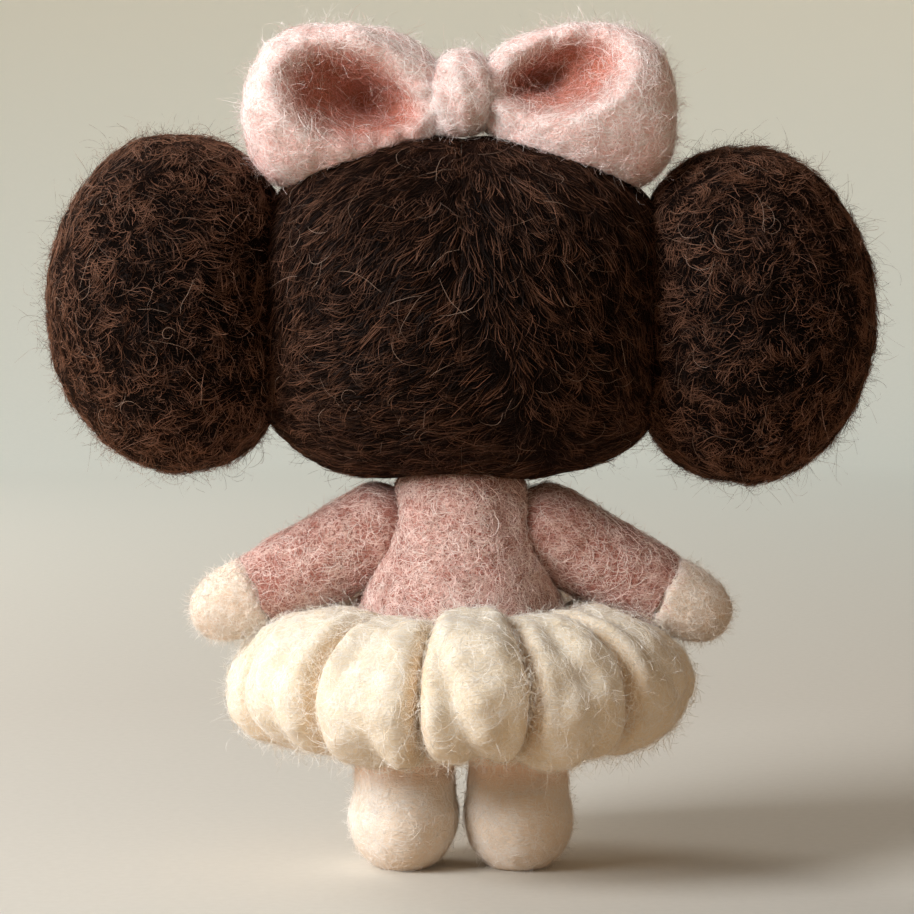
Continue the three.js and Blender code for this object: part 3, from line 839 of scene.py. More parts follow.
def place_leg(p, side):
    """A post whose radius passes softly into the foot's below."""
    middle = np.array([side * leg_spread, 0, 14.3 * mm])
    height = middle[2] + p[:, 2] * 8.2 * mm
    round_the_leg = unit(p * (1, 1, 0))
    ankle = np.sqrt(np.maximum(1 - ((height - foot_middle[2]) / foot_half[2]) ** 2, 0))
    foot = ankle / np.maximum(np.hypot(*(round_the_leg[:, :2] / foot_half[:2]).T), 1) + 0.03 * mm
    leg = leg_radius - 0.4 * mm * np.clip((13 * mm - height) / (4 * mm), 0, 1)
    soft = (0.1 + np.clip((height - 7 * mm) / (3.5 * mm), 0, 1)) * mm
    radius = soft * np.logaddexp(foot / soft, leg / soft)
    ends = np.minimum(1, np.hypot(p[:, 0], p[:, 1]) * 2.6)
    post = np.tile([middle[0], foot_middle[1] * 0.5, 0], (len(p), 1))
    post[:, 2] = height
    points = lumpy(round_the_leg * (radius * ends)[:, None] + post, middle, 0.06 * mm, 0.03 * mm, 120 + side)
    return pressed(points, middle, in_torso)


feet = pair("foot", [ball(5), ball(5)], leg_felt, "torso", place_foot)
legs = pair("leg", [ball(5), ball(5)], leg_felt, "torso", place_leg)


# %% The arms and sleeves
def arm_points(side, across, along):
    """Points given across an arm, upward and back, and along it, set in their place."""
    upward = np.array([side * math.sin(arm_droop), 0, math.cos(arm_droop)])
    points = shoulder * (side, 1, 1) + along[:, None] * arm_direction(side) + across[:, :1] * upward
    return points + across[:, 1:] * np.array([0, 1, 0])


def place_arm(p, side):
    along = 9.85 * mm + p[:, 2] * 14.15 * mm
    rounded = np.sqrt(np.maximum((4.2 * mm) ** 2 - along**2, 0))
    inner = np.where(along < 0, rounded, sleeve_radius(along) - 1.75 * mm)
    radius = np.where(along < 15 * mm, inner, np.maximum(hand_radius(along), 0))
    ring = unit(p * (1, 1, 0)) * radius[:, None]
    middle = arm_points(side, np.zeros((1, 2)), np.array([hand_middle]))
    return lumpy(arm_points(side, ring[:, :2], along), middle, 0.16 * mm, 0.08 * mm, 130 + side)


def place_sleeve(p, side):
    turn = np.arctan2(p[:, 1], p[:, 0])
    share = (p[:, 2] + shoulder_radius) / (sleeve_length + shoulder_radius)
    ragged = (0.25 * np.sin(turn * 3 + side) + 0.15 * np.sin(turn * 7 + 1)) * mm
    along = p[:, 2] + ragged * np.clip(share * 4 - 3, 0, 1)
    thin = 1 - 0.035 * np.clip((share - 0.88) / 0.12, 0, 1)
    points = arm_points(side, p[:, :2] * thin[:, None], along)
    middle = np.clip(arm_frame(points, side)[0], 0, 1)[:, None] * arm_direction(side)
    return lumpy(points, shoulder * (side, 1, 1) + middle, 0.2 * mm, 0.1 * mm, 140 + side)


def sleeve_tube():
    """A tube with a round end at the shoulder, turned about its own middle line."""
    round_end = -shoulder_radius * np.cos(np.linspace(0, math.pi / 2, 16)[1:-1])
    levels = np.concatenate([round_end, np.linspace(0, sleeve_length, 40)])
    return spun([(0.0, -shoulder_radius), *zip(sleeve_radius(levels), levels)], 80)


arms = pair("arm", [ball(5), ball(5)], skin_felt, "{}_arm", place_arm)
sleeves = pair("sleeve", [sleeve_tube(), sleeve_tube()], bodice_felt, "{}_arm", place_sleeve, wall=0.9 * mm)

# %% [markdown]
# ## The face
#
# The face is calm and plain: two closed eyes and a small smile, each one stitch of cotton thread with short
# lashes beside it, a felt nub for the nose and two thin blush pads. A stitch is a curve with a round section.

# %% The stitches
head_form = bmesh.new()
head_form.from_mesh(head_ball.data)
head_tree = BVHTree.FromBMesh(head_form)
head_form.free()


def on_face(x, z, proud=0.0):
    """The point of the felted face at x, and at z from the head's middle, or just in front of it."""
    spot = head_tree.ray_cast(Vector((x, -50 * mm, head_middle + z)), Vector((0, 1, 0)))[0]
    return spot - Vector((0, proud, 0))


def thread_finish(name, deep, pale):
    """Cotton thread: two plies that wind round each other show as slanting bands."""
    material, shader, place = new_finish(name)
    turned = place.node("ShaderNodeMapping", {"Vector": place, "Rotation": (0, 0.7, 0)})
    bands = place.node("ShaderNodeTexWave", {"Vector": turned, "Scale": 900.0, "Distortion": 1.5, "Detail": 1.0})
    bump = place.node("ShaderNodeBump", {"Height": bands, "Strength": 0.6, "Distance": 0.1 * mm})
    connect(shader, Base_Color=between(bands, deep, pale), Normal=bump, Roughness=0.75 + bands * 0.15)
    return material


def stitches(name, lines, radius, finish, node):
    """One object with a thread for each line of points on the face."""
    curve = bpy.data.curves.new(name, "CURVE")
    curve.dimensions, curve.bevel_depth, curve.bevel_resolution, curve.use_fill_caps = "3D", radius, 3, True
    for points in lines:
        spline = curve.splines.new("NURBS")
        spline.points.add(len(points) - 1)
        for spot, point in zip(spline.points, points):
            spot.co = (*point, 1)
        spline.use_endpoint_u, spline.order_u, spline.resolution_u = True, 3, 8
    piece = placed(name, curve, finish)
    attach(piece, "head")
    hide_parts(node)


def on_lid(side, t, proud, out=0.0, down=0.0):
    """A point of a closed lid's arc, from its inner end at t = -1 to its outer end at 1, or a little beside it."""
    return on_face(side * (6.7 + t * 2.3 + out) * mm, (-4 - 1.3 * (1 - t * t) - down) * mm, proud)


eye_thread = thread_finish("eye_thread_finish", (0.012, 0.007, 0.005), (0.06, 0.035, 0.028))
mouth_thread = thread_finish("mouth_thread_finish", (0.26, 0.08, 0.07), (0.5, 0.2, 0.17))
for name, side in sides.items():
    threads = [[on_lid(side, t, 0.14 * mm) for t in np.linspace(-1, 1, 9)]]
    for t in (0.35, 0.7, 1.0):
        root, tip = on_lid(side, t, 0.1 * mm), on_lid(side, t, 0.05 * mm, 0.8, 0.75)
        threads.append([root, (root + tip) / 2 - Vector((0, 0.1 * mm, 0)), tip])
    stitches(f"thread_eye_{name}", threads, 0.27 * mm, eye_thread, f"eye_{name}")
smile = [on_face(t * 2.3 * mm, (-10.6 - 0.9 * (1 - t * t)) * mm, 0.14 * mm) for t in np.linspace(-1, 1, 9)]
stitches("thread_mouth", [smile], 0.3 * mm, mouth_thread, "mouth_stitch")
print("threads on each eye", len(threads))


# %% The nose and the blush
def place_nub(p, middle, half, toward):
    """A small felt ball or pad at a point of the face, with its flat side facing outwards."""
    turn = Matrix.Rotation(math.atan2(toward.x, -toward.y), 3, "Z")
    return lumpy(p * half @ np.array(turn).T + np.array(middle), np.array(middle), 0.05 * mm, 0.03 * mm, 150)


nose_half, cheek_half = np.array([1.3, 1.3, 1.05]) * mm, np.array([2.8, 0.75, 2.8]) * mm
spot = on_face(0, -7.4 * mm)
wool_piece("nose", ball(4), skin_felt, "head", place_nub, spot, nose_half, spot)
for name, side in sides.items():
    spot = on_face(side * 10 * mm, -8.4 * mm)
    sunk = spot + Vector((0, 0.1 * mm, 0))
    wool_piece(f"cheek_{name}", ball(4), blush_felt, "head", place_nub, sunk, cheek_half, spot)
print("nose at", [round(c / mm, 1) for c in on_face(0, -7.4 * mm)], "mm")

# %% [markdown]
# ## Laying the fibres
#
# A fibre is a narrow ribbon. Its root is an edge, and each step extrudes the edges of all fibres at once, so a
# whole coat is one mesh. The points then go to their places: the fibre walks over the wool in small steps, along
# the way that the wool was combed, and each step settles on the surface again. A ribbon lies flat or rolled on its
# side by chance, and catches the light as a round fibre would, with a quarter of the faces.
#
# The fibres of hair lie in locks: each one draws together with a leader near it, rises out of the wool towards its
# tip, and is painted lighter there, a painted highlight over painted shade at the root. Loose fibres stand off the
# wool instead, and curl in the air.


# %% The surface that fibres walk on
def triangles_of(mesh):
    """A mesh's faces as triangles. The faces of a spun or cut mesh are stored in another order in each run, and
    fibres are scattered by that order. So each face starts at its first point here, and they are sorted."""
    rings = [list(face.vertices) for face in mesh.polygons]
    if max(len(ring) for ring in rings) > 3:
        starts = [ring.index(min(ring)) for ring in rings]
        rings = sorted(ring[start:] + ring[:start] for ring, start in zip(rings, starts))
    return np.array([(ring[0], *ends) for ring in rings for ends in zip(ring[1:], ring[2:])])


class Skin:
    """The surface of one or more pieces, to scatter fibres on and to settle their points on."""

    def __init__(self, *meshes):
        corners, faces, offset = [], [], 0
        for mesh in meshes:
            co = np.empty(len(mesh.vertices) * 3)
            mesh.vertices.foreach_get("co", co)
            corners.append(co.reshape(-1, 3))
            faces.append(triangles_of(mesh) + offset)
            offset += len(mesh.vertices)
        self.corners, self.faces = np.vstack(corners), np.vstack(faces)
        self.tree = BVHTree.FromPolygons(self.corners.tolist(), self.faces.tolist())
        a, b, c = (self.corners[self.faces[:, i]] for i in range(3))
        self.cross = np.cross(b - a, c - a)

    def scatter(self, count, rng, bare):
        """Points spread evenly by area, apart from where bare says that the wool is covered."""
        area = np.linalg.norm(self.cross, axis=1)
        area = area * ~bare(self.corners[self.faces].mean(1))
        chosen = rng.choice(len(area), count, p=area / area.sum())
        u, v = rng.random(count), rng.random(count)
        over = u + v > 1
        u[over], v[over] = 1 - u[over], 1 - v[over]
        a, b, c = (self.corners[self.faces[chosen, i]] for i in range(3))
        return a + (b - a) * u[:, None] + (c - a) * v[:, None], unit(self.cross[chosen])

    def settle(self, points):
        """The nearest points of the surface, and its normals there."""
        found = [self.tree.find_nearest(point)[:2] for point in points.tolist()]
        return np.array([f[0] for f in found]), np.array([f[1] for f in found])


def skin_of(*pieces):
    return Skin(*(piece.data for piece in pieces))


def flat_on(vectors, normals):
    return unit(vectors - (vectors * normals).sum(-1, keepdims=True) * normals)


def turned_about(vectors, axes, angles):
    """Each vector turned about its own unit axis."""
    cos, sin = np.cos(angles)[:, None], np.sin(angles)[:, None]
    kept = axes * (axes * vectors).sum(1, keepdims=True)
    return vectors * cos + np.cross(axes, vectors) * sin + kept * (1 - cos)


# %% Two ways that a fibre runs
def lying(skin, roots, normals, heading, length, steps, curl, lift, rng, rising):
    """Fibres that walk over the wool: their points, and the normals under them. Rising ones end clear of it."""
    count = len(roots)
    bend = rng.normal(0, curl, count)
    points, here, path, ups = roots, heading, [], []
    top = lift * rng.random(count) ** 1.5
    for step in range(steps + 1):
        arch = (step / steps) ** 1.5 if rising else math.sin(math.pi * (0.1 + 0.8 * step / steps))
        path.append(points + normals * (0.05 * mm + top * arch)[:, None])
        ups.append(normals)
        if step < steps:
            here = turned_about(here, normals, (bend + rng.normal(0, curl * 0.6, count)) / steps)
            points, normals = skin.settle(points + here * (length / steps)[:, None])
            here = flat_on(here, normals)
    return np.array(path), np.array(ups)


def loose(roots, normals, heading, length, steps, curl, lean, rng):
    """Fibres that stand off the wool and curl in the air."""
    count = len(roots)
    slope = rng.uniform(*lean, count)[:, None]
    here = unit(heading * (1 - slope) + normals * slope)
    axes = unit(rng.normal(size=(count, 3)))
    bend = rng.normal(0, curl, count)
    points, path, ups = roots, [], []
    for step in range(steps + 1):
        path.append(points)
        ups.append(np.cross(here, axes))
        axes = unit(axes + rng.normal(0, 0.35, (count, 3)))
        here = unit(turned_about(here, axes, bend / steps))
        points = points + here * (length / steps)[:, None]
    return np.array(path), unit(np.array(ups))


# %% Ribbons from fibre paths
def ribbons(name, path, ups, width, tone, finish, body, shade, rng):
    """One mesh of ribbons: path and ups are steps by fibres by 3. Without shade they cast no shadow."""
    steps, count = path.shape[0] - 1, path.shape[1]
    bm = bmesh.new()
    roots = [(bm.verts.new((0, 0, 0)), bm.verts.new((0, 0, 0))) for _ in range(count)]
    last = [bm.edges.new(ends) for ends in roots]
    for _ in range(steps):
        made = bmesh.ops.extrude_edge_only(bm, edges=last)["geom"]
        last = [part for part in made if isinstance(part, bmesh.types.BMEdge)]
    mesh = bpy.data.meshes.new(name)
    bm.to_mesh(mesh)
    bm.free()
    along = unit(np.gradient(path, axis=0))
    flat = unit(np.cross(along, ups))
    turns = rng.normal(0, 0.7, count)[None, :, None]
    across = flat * np.cos(turns) + np.cross(along, flat) * np.sin(turns)
    taper = np.sin(np.pi * np.linspace(0.12, 0.9, steps + 1)) ** 0.5
    half = across * (width / 2)[None, :, None] * taper[:, None, None]
    points = np.stack([path - half, path + half], axis=2)
    mesh.vertices.foreach_set("co", points.ravel())
    shades = mesh.attributes.new("tone", "FLOAT", "POINT")
    shades.data.foreach_set("value", np.repeat(tone.ravel(), 2).astype(np.float32))
    add_patches(mesh, steps, count)
    mesh.shade_smooth()
    mesh.update()
    piece = placed(name, mesh, finish)
    piece.visible_shadow = shade
    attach(piece, body)
    print(name, count, "fibres", 2 * count * steps, "triangles")


def add_patches(mesh, steps, count):
    """Gives each ribbon a patch of its own in a map named OFBake."""
    columns = math.ceil(math.sqrt(count))
    column, row = np.arange(count)[:, None] % columns, np.arange(count)[:, None] // columns
    over, up = np.array([0.2, 0.8]), np.linspace(0.15, 0.85, steps + 1)[:, None, None]
    patches = np.stack(np.broadcast_arrays(column + over, row + up), axis=-1).reshape(-1, 2) / columns
    corner = np.empty(len(mesh.loops), int)
    mesh.loops.foreach_get("vertex_index", corner)
    mesh.uv_layers.new(name="OFBake").data.foreach_set("uv", patches[corner].ravel())


# %% A coat of fibres
def nearest(roots, leaders):
    """For each root, the number of the nearest of the first few, which leads its lock."""
    tree = KDTree(leaders)
    for number, root in enumerate(roots[:leaders]):
        tree.insert(root, number)
    tree.balance()
    return np.array([tree.find(root)[1] for root in roots])


def coat(
    name, ground, finish, count, length, width, spread, seed, curl=0.9, lift=0.25, steps=5, base=0.45,
    vary=0.13, lock=4, stand=None, pale=0.04, shade=False, drift=0.0, tip=0.0, rising=False, leaders=0,
):
    """A coat of fibres over a ground: a skin, its body, the way that it was combed, and where it is covered.
    Measures are in mm. Where stand is given, the fibres lean out of the skin by that range instead of lying.
    drift turns whole locks of them, and tip is how much lighter they are painted at the tip than at the root:
    a painted highlight on the tip and painted shade at the root. With leaders, the other fibres draw together
    with the nearest leader, as the fibres of a lock do."""
    skin, body, flow, bare = ground
    length, width, lift, lock = length * mm, width * mm, lift * mm, lock * mm
    rng = np.random.default_rng(seed)
    roots, normals = skin.scatter(count, rng, bare)
    heading = flat_on(flow(roots), normals)
    turns = rng.normal(0, spread, count) + drift * waves(roots, lock * 2, seed + 2)
    heading = turned_about(heading, normals, turns)
    lengths = length * rng.uniform(0.6, 1.4, count)
    if stand is None:
        path, ups = lying(skin, roots, normals, heading, lengths, steps, curl, lift, rng, rising)
    else:
        path, ups = loose(roots, normals, heading, lengths, steps, curl, stand, rng)
    if leaders:
        leader = nearest(roots, leaders)
        draw = 0.65 * np.linspace(0, 1, steps + 1) ** 1.2
        path = path + (path[:, leader] - path) * draw[:, None, None]
    path[..., 2] = np.maximum(path[..., 2], 0.06 * mm)
    tone = base(roots) if callable(base) else base
    tone = tone + vary * rng.normal(size=count) + vary * waves(roots, lock, seed + 1)
    if leaders:
        tone = 0.6 * tone + 0.4 * tone[leader]
    # Painted highlight and shade: each fibre is lighter towards its tip and deeper at its root.
    tone = np.where(rng.random(count) < pale, 0.9, tone) + tip * np.linspace(-0.5, 0.5, steps + 1)[:, None]
    ribbons(name, path, ups, width * rng.uniform(0.7, 1.3, count), tone, finish, body, shade, rng)


# %% [markdown]
# ## The hair's fibres
#
# From the parting the hair is combed out and down, steep near the crown and almost level at the nape. On a puff
# it follows the rim of the oval, and is tangled in the middle. A few curls of a paler hair catch the light, and
# fine ones stand off all round.


# %% The hair's fibres
def combed(points):
    """Out and down from the parting, steeper on the right. Lower down, the left side's wool crosses over."""
    low = np.clip((head_middle + 20 * mm - points[:, 2]) / (40 * mm), 0, 1)
    side = np.tanh((points[:, 0] + (0.5 + 11 * low**2) * mm) / (2.5 * mm))
    outward = np.where(side > 0, 0.6 + 0.8 * low, 0.3 + 0.5 * low)
    return np.stack([side * outward, np.zeros(len(points)), -(1.1 - 0.75 * low)], axis=1)


def hair_covered(points):
    """Where a hair puff or the body covers the hair."""
    x, y, z = points.T
    puff = (np.abs(x) > 22 * mm) & (((z - head_middle) / (17 * mm)) ** 2 + (y / (13.5 * mm)) ** 2 < 1)
    return puff | in_torso(points, 0.6 * mm)


skin = skin_of(*hair.values(), *fringe.values())
for index, (name, side) in enumerate(sides.items()):

    def elsewhere(points, side=side):
        return hair_covered(points) | (side * points[:, 0] < 0)

    ground = skin, "head", combed, elsewhere
    coat(
        f"fibres_hair_{name}", ground, hair_fibre, 11500, 3.6, 0.053, 0.1, 200 + index, curl=0.7, lift=0.5,
        lock=2.5, base=0.49, vary=0.22, pale=0.03, shade=True, drift=0.25, tip=0.4, rising=True, leaders=2200,
    )
    coat(
        f"curls_hair_{name}", ground, hair_curl, 160, 4.5, 0.036, 0.7, 205 + index, curl=2.2, lift=0.6,
        steps=12, base=0.75, vary=0.3,
    )
    coat(
        f"flyaways_hair_{name}", ground, hair_fibre, 1200, 3.0, 0.028, 0.5, 210 + index, curl=3, steps=8,
        stand=(0.05, 0.35), base=0.8, pale=0.05,
    )


# %% The hair puffs' fibres
def in_hair(points):
    return in_head(points, 0.45 * mm)


def painted_rim_glow(points):
    """A puff's fibres are painted lighter towards its rim, for the brown glow of thin wool with light coming
    through.
    """
    away = (points - puff_middle * np.sign(points[:, :1]) ** (1, 0, 0)) / (np.array([15, 99, 19.8]) * mm)
    return 0.46 + 0.54 * np.clip((away**2).sum(1), 0, 1)


for index, (name, side) in enumerate(sides.items()):

    def round_the_rim(points, side=side):
        return np.cross(points - puff_middle * (side, 1, 1), (0, 1, 0)) + (-0.012 * side, 0, -0.012)

    ground = skin_of(hair_puffs[name]), "head", round_the_rim, in_hair
    coat(
        f"fibres_hair_puff_{name}", ground, hair_fibre, 11700, 2.8, 0.054, 0.16, 220 + index, curl=1.7,
        lift=0.75, lock=3, base=painted_rim_glow, vary=0.24, pale=0.03, shade=True, drift=2.0, tip=0.45,
        rising=True, leaders=1300,
    )
    coat(
        f"curls_hair_puff_{name}", ground, hair_curl, 220, 4.5, 0.036, 1.0, 225 + index, curl=2.4, lift=0.7,
        steps=12, base=0.75, vary=0.3,
    )
    coat(
        f"flyaways_hair_puff_{name}", ground, hair_fuzz, 1500, 4.4, 0.028, 1.2, 230 + index, curl=7, steps=8,
        stand=(0.1, 0.5), base=0.6, pale=0.05,
    )
    coat(
        f"fuzz_hair_puff_{name}", ground, hair_fuzz, 6000, 1.7, 0.026, 1.4, 240 + index, curl=5, steps=4,
        stand=(0.25, 0.8), base=0.5,
    )

# %% [markdown]
# ## The other coats
#
# The bow and the bodice show single pale fibres that cross in all directions, the bodice in short tight arcs. The
# skirt's fibres run down each roll from the waist. The skin-coloured wool is felted smoother, with short fibres.


# %% The bow's fibres
def along_bow(points):
    """Round a loop's hollow, and so lengthwise on its two rolls. On the knot it is up and down."""
    side = np.where(points[:, 0] > 0, 1, -1)
    out, up = np.abs(points[:, 0]) - 11.5 * mm, points[:, 2] - 91.5 * mm
    return np.stack([-side * up / 0.6, np.zeros(len(points)), out * 0.6], axis=1)


def bow_tone_with_painted_shade(points):
    """Pale on the rolls, and painted a deep rose in the hollows and along the lower edge, as shade."""
    return 0.58 - 0.58 * hollow_share(points) - 0.25 * np.clip((88 * mm - points[:, 2]) / (5 * mm), 0, 1)


def bow_covered(points):
    return in_head(points, 0.4 * mm)


def bow_near_hair(points):
    return in_head(points, 1.1 * mm)


skin = skin_of(loops["left"], loops["right"], knot)
ground = skin, "head", along_bow, bow_covered
clear_ground = skin, "head", along_bow, bow_near_hair
coat("fibres_bow", ground, bow_fibre, 9000, 3.6, 0.046, 0.7, 300, curl=2.2, lift=0.4, base=bow_tone_with_painted_shade, pale=0.06)
coat(
    "locks_bow", clear_ground, bow_fibre, 1800, 4.2, 0.045, 0.8, 302, curl=2.6, lift=0.5, base=bow_tone_with_painted_shade,
    pale=0.06, shade=True,
)
coat(
    "fuzz_bow", clear_ground, bow_fibre, 10000, 1.8, 0.026, 1.5, 301, curl=2.8, steps=3, stand=(0.15, 0.7),
    base=bow_tone_with_painted_shade, shade=True,
)
coat(
    "curls_bow", clear_ground, bow_fibre, 1500, 3.6, 0.028, 1.5, 303, curl=5, steps=8, stand=(0.1, 0.5),
    base=0.55,
)


# %% The bodice's fibres
def down_body(points):
    return np.stack([points[:, 0], points[:, 1], np.full(len(points), -0.02)], axis=1)


def bodice_covered(points):
    return (points[:, 2] < 29.5 * mm) | in_arm(points, 0.6 * mm) | in_head(points, 0.6 * mm)


ground = skin_of(bodice), "torso", down_body, bodice_covered
coat("fibres_bodice", ground, bodice_fibre, 6200, 2.6, 0.048, 1.6, 310, curl=2.8, pale=0.12)
coat("locks_bodice", ground, bodice_fibre, 1600, 3.0, 0.055, 1.6, 312, curl=3.4, lift=0.5, pale=0.2, shade=True)
bodice_fuzz = {"curl": 2.8, "steps": 3, "stand": (0.15, 0.65), "base": 0.7}
coat("fuzz_bodice", ground, bodice_fibre, 3500, 1.3, 0.028, 1.6, 311, **bodice_fuzz)

# %% The sleeves' and the hands' fibres
for index, (name, side) in enumerate(sides.items()):

    def down_arm(points, side=side):
        return np.tile(arm_direction(side), (len(points), 1))

    def off_sleeve(points, side=side):
        return in_torso(points, 0.5 * mm) | (arm_frame(points, side)[0] > 16.0 * mm)

    def up_sleeve(points, side=side):
        return arm_frame(points, side)[0] < 14.6 * mm

    body = f"{name}_arm"
    ground = skin_of(sleeves[name], arms[name]), body, down_arm, off_sleeve
    coat(f"fibres_sleeve_{name}", ground, bodice_fibre, 4400, 2.5, 0.048, 1.3, 320 + index, curl=2.8, pale=0.12)
    coat(f"fuzz_sleeve_{name}", ground, bodice_fibre, 2500, 1.3, 0.028, 1.5, 330 + index, **bodice_fuzz)
    ground = skin_of(arms[name]), body, down_arm, up_sleeve
    coat(
        f"fibres_hand_{name}", ground, skin_fibre, 2600, 2.2, 0.038, 1.2, 340 + index, curl=2.2, steps=4,
        vary=0.2, lock=1.5,
    )
    coat(
        f"locks_hand_{name}", ground, skin_fibre, 700, 2.4, 0.032, 1.2, 345 + index, curl=2.6, lift=0.4,
        steps=4, shade=True,
    )
    coat(
        f"fuzz_hand_{name}", ground, skin_fibre, 2600, 1.4, 0.028, 1.5, 350 + index, curl=3.2, steps=3,
        stand=(0.2, 0.8), base=0.7, shade=True,
    )


# %% The skirt's fibres
def down_skirt(points):
    """Out from the waist over the top, then down the outside."""
    level = (points[:, 2] - skirt_middle) / (skirt_height / 2)
    away = unit(points * (1, 1, 0))
    return away * np.clip(level, -1, 1)[:, None] + np.array([0, 0, -0.8])


def skirt_covered(points):
    near = np.hypot(points[:, 0], points[:, 1])
    return (near < 10 * mm) | in_torso(points, 0.5 * mm) | in_arm(points, 0.5 * mm) | in_legs(points, 0.4 * mm)


# Painted shade: the skirt's fibres are deeper in tone down between the rolls.
def skirt_tone_with_painted_shade(points):
    return 0.66 - 0.5 * crease_share(points)


def paler_skirt_tone_with_painted_shade(points):
    return skirt_tone_with_painted_shade(points) + 0.15


def above_hem(points):
    return (points[:, 2] > 17.5 * mm) | in_legs(points, 0.4 * mm) | in_torso(points, 0.5 * mm)


for index in range(2):
    ground = skin_of(*skirt[index::2]), "torso", down_skirt, skirt_covered
    coat(
        f"fibres_skirt_{index + 1}", ground, skirt_fibre, 5600, 3.4, 0.042, 0.6, 360 + index, curl=2.0,
        lift=0.35, base=skirt_tone_with_painted_shade, vary=0.22, lock=2, drift=0.8,
    )
    coat(
        f"locks_skirt_{index + 1}", ground, skirt_fibre, 3600, 3.2, 0.034, 0.9, 364 + index, curl=3.0,
        lift=0.8, base=skirt_tone_with_painted_shade, vary=0.2, shade=True, drift=0.8,
    )
    coat(
        f"fuzz_skirt_{index + 1}", ground, skirt_fibre, 6500, 2.0, 0.03, 1.5, 370 + index, curl=3.6, steps=3,
        stand=(0.2, 0.9), base=paler_skirt_tone_with_painted_shade, shade=True,
    )
ground = skin_of(*skirt), "torso", down_skirt, above_hem
coat(
    "hem_skirt", ground, skirt_fibre, 2200, 3.0, 0.028, 1.5, 377, curl=4.5, steps=6, stand=(0.2, 0.7),
    base=0.6,
)

# %% [markdown]
# ## From roll to roll
#
# Loose fibres of the skirt also bridge the creases. They lie on a smooth ring without creases, just inside the
# rolls' outer line, which is only a guide and isn't kept. The veil lies over the creases alone, and the haze all
# over the skirt.

# %% The veil and the haze
round_section = np.linspace(0, 2 * math.pi, 49)
ring_line = [(17.7 * mm + 9.0 * mm * math.cos(a), skirt_middle + 8.0 * mm * math.sin(a)) for a in round_section]
guide = bpy.data.meshes.new("guide")
bm = spun(ring_line, 96)
bmesh.ops.recalc_face_normals(bm, faces=bm.faces)
bm.to_mesh(guide)
bm.free()
skin = Skin(guide)
bpy.data.meshes.remove(guide)


def off_crease(points):
    return skirt_covered(points) | (crease_share(points) + 0.5 * waves(points, 3 * mm, 8) < 0.2)


ground = skin, "torso", down_skirt, skirt_covered
coat("haze_skirt", ground, skirt_fibre, 3200, 3.6, 0.024, 1.5, 376, curl=3, lift=1.3, base=0.6, rising=True)
ground = skin, "torso", down_skirt, off_crease
coat("veil_skirt", ground, skirt_fibre, 5500, 3.0, 0.03, 1.3, 375, curl=3.4, lift=0.7, steps=4, vary=0.2)


# %% The legs', feet's and face's fibres
def round_ball(points):
    return np.cross(points, (0, 0, 1.0)) + (0, 0, -0.004)


def leg_covered(points):
    return in_torso(points, 0.5 * mm) | (points[:, 2] < 0.3 * mm)


def off_face(points):
    inside = np.hypot(points[:, 0], points[:, 2] - opening_middle) < 14.8 * mm
    return ~(inside & (points[:, 1] < 0)) | (points[:, 2] > head_middle + 5 * mm)


ground = skin_of(*feet.values(), *legs.values()), "torso", round_ball, leg_covered
coat(
    "fibres_feet", ground, leg_fibre, 5200, 2.2, 0.038, 1.2, 380, curl=2.2, lift=0.2, steps=4, vary=0.2,
    lock=1.5,
)
coat("locks_feet", ground, leg_fibre, 1800, 2.4, 0.032, 1.2, 382, curl=2.6, lift=0.35, steps=4, shade=True)
coat(
    "fuzz_feet", ground, leg_fibre, 5000, 1.3, 0.028, 1.5, 381, curl=3.0, steps=3, stand=(0.2, 0.8), base=0.75,
    shade=True,
)
ground = skin_of(head_ball), "head", round_ball, off_face
coat("fibres_face", ground, skin_fibre, 4500, 2.2, 0.035, 1.4, 390, curl=1.8, lift=0.08, steps=4)
coat(
    "fuzz_face", ground, skin_fibre, 2500, 0.9, 0.024, 1.5, 391, curl=2.4, steps=3, stand=(0.15, 0.6),
    base=0.7,
)

# %% [markdown]
# ## The wires
#
# The armature is drawn steel wire. It is hidden in the wool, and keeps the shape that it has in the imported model.


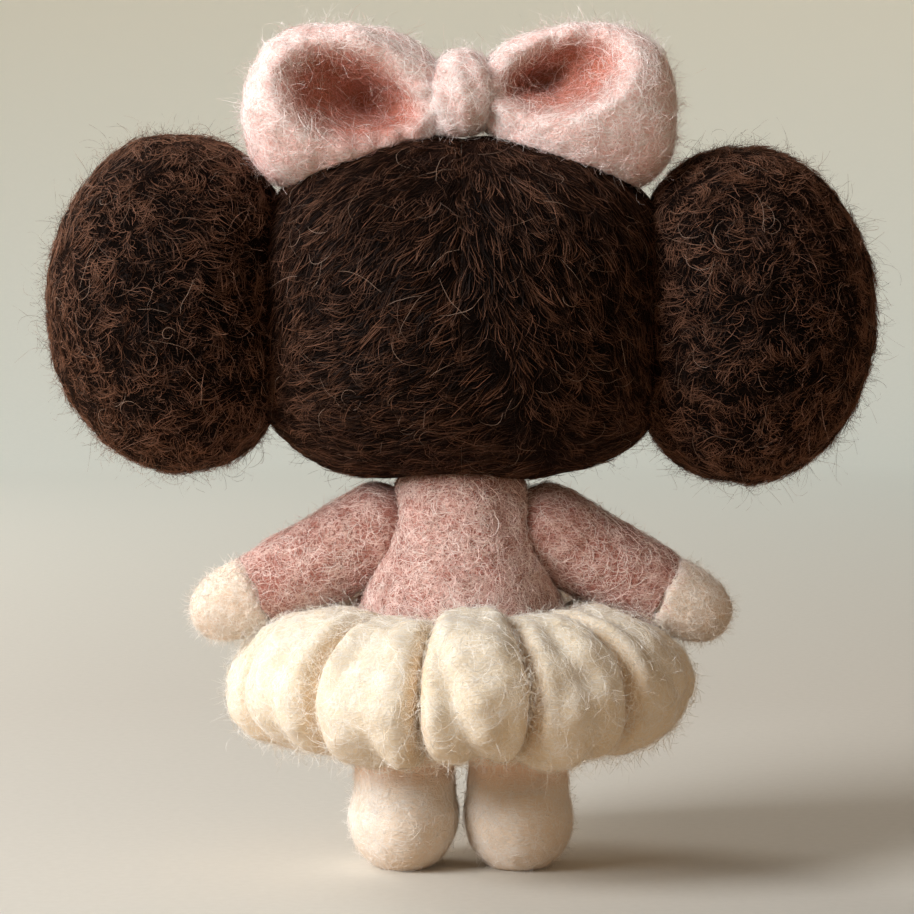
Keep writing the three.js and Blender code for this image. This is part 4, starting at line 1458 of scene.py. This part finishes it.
# %% The wires' finish
def wire_finish():
    """Drawn steel: fine scratches along the wire and a little dullness."""
    material, shader, place = new_finish("drawn_steel")
    drawn = place.node("ShaderNodeMapping", {"Vector": place, "Scale": (4, 4, 0.2)})
    scratches = place.node("ShaderNodeTexNoise", {"Vector": drawn, "Scale": 2500.0, "Detail": 3.0})
    bump = place.node("ShaderNodeBump", {"Height": scratches, "Strength": 0.2, "Distance": 0.02 * mm})
    color = between(scratches, (0.42, 0.42, 0.41), (0.62, 0.62, 0.6))
    connect(shader, Base_Color=color, Normal=bump, Roughness=0.28 + scratches * 0.2)
    shader.inputs["Metallic"].default_value = 1.0
    return material


steel = wire_finish()
wires = [node for name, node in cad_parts.items() if "wire" in name]
for wire in wires:
    wire.data.materials.clear()
    wire.data.materials.append(steel)
print("wires", len(wires))

# %% [markdown]
# ## The studio
#
# The floor is a plain pale disc that turns up into a wall. It is spun from a line, like the bodice. The camera
# sees it pale, and the doll is lit by a duller, warmer tone of it, so that the shaded side of the wool stays deep.


# %% The floor and wall
def pale_floor():
    material, shader, place = new_finish("pale_backdrop")
    grain = place.node("ShaderNodeTexNoise", {"Vector": place, "Scale": 900.0, "Detail": 2.0})
    height = place.node("ShaderNodeSeparateXYZ", {"Vector": place}, output="Z")
    distance = place.node("ShaderNodeVectorMath", {0: place}, output="Value", operation="LENGTH")
    rise, far = (height * 6).held(), ((distance - 0.15) * 2).held()
    seen = place.node("ShaderNodeLightPath", {}, output="Is Camera Ray")
    low = between(grain, (0.66, 0.65, 0.6), (0.72, 0.71, 0.66))
    pale = between(rise, low, (0.86, 0.86, 0.77))
    color = between(seen, (0.55, 0.43, 0.31), pale)
    glow = between(seen * far, (0, 0, 0), between(rise, (0.21, 0.26, 0.25), (0.15, 0.16, 0.13)))
    connect(shader, Base_Color=color, Emission_Color=glow, Roughness=0.9 + grain * 0.05)
    shader.inputs["Emission Strength"].default_value = 1.0
    return material


floor_radius, turn_up_radius = 0.62, 0.28
quarter = np.linspace(0, math.pi / 2, 16)
turn_up = [(floor_radius + turn_up_radius * math.sin(a), turn_up_radius * (1 - math.cos(a))) for a in quarter]
bm = spun([(0, 0), (0.05, 0), (0.3, 0), *turn_up, (0.9, 0.5)], 96)
mesh = bpy.data.meshes.new("floor")
bm.to_mesh(mesh)
bm.free()
mesh.shade_smooth()
placed("floor", mesh, pale_floor())
print("floor", len(mesh.polygons), "faces")
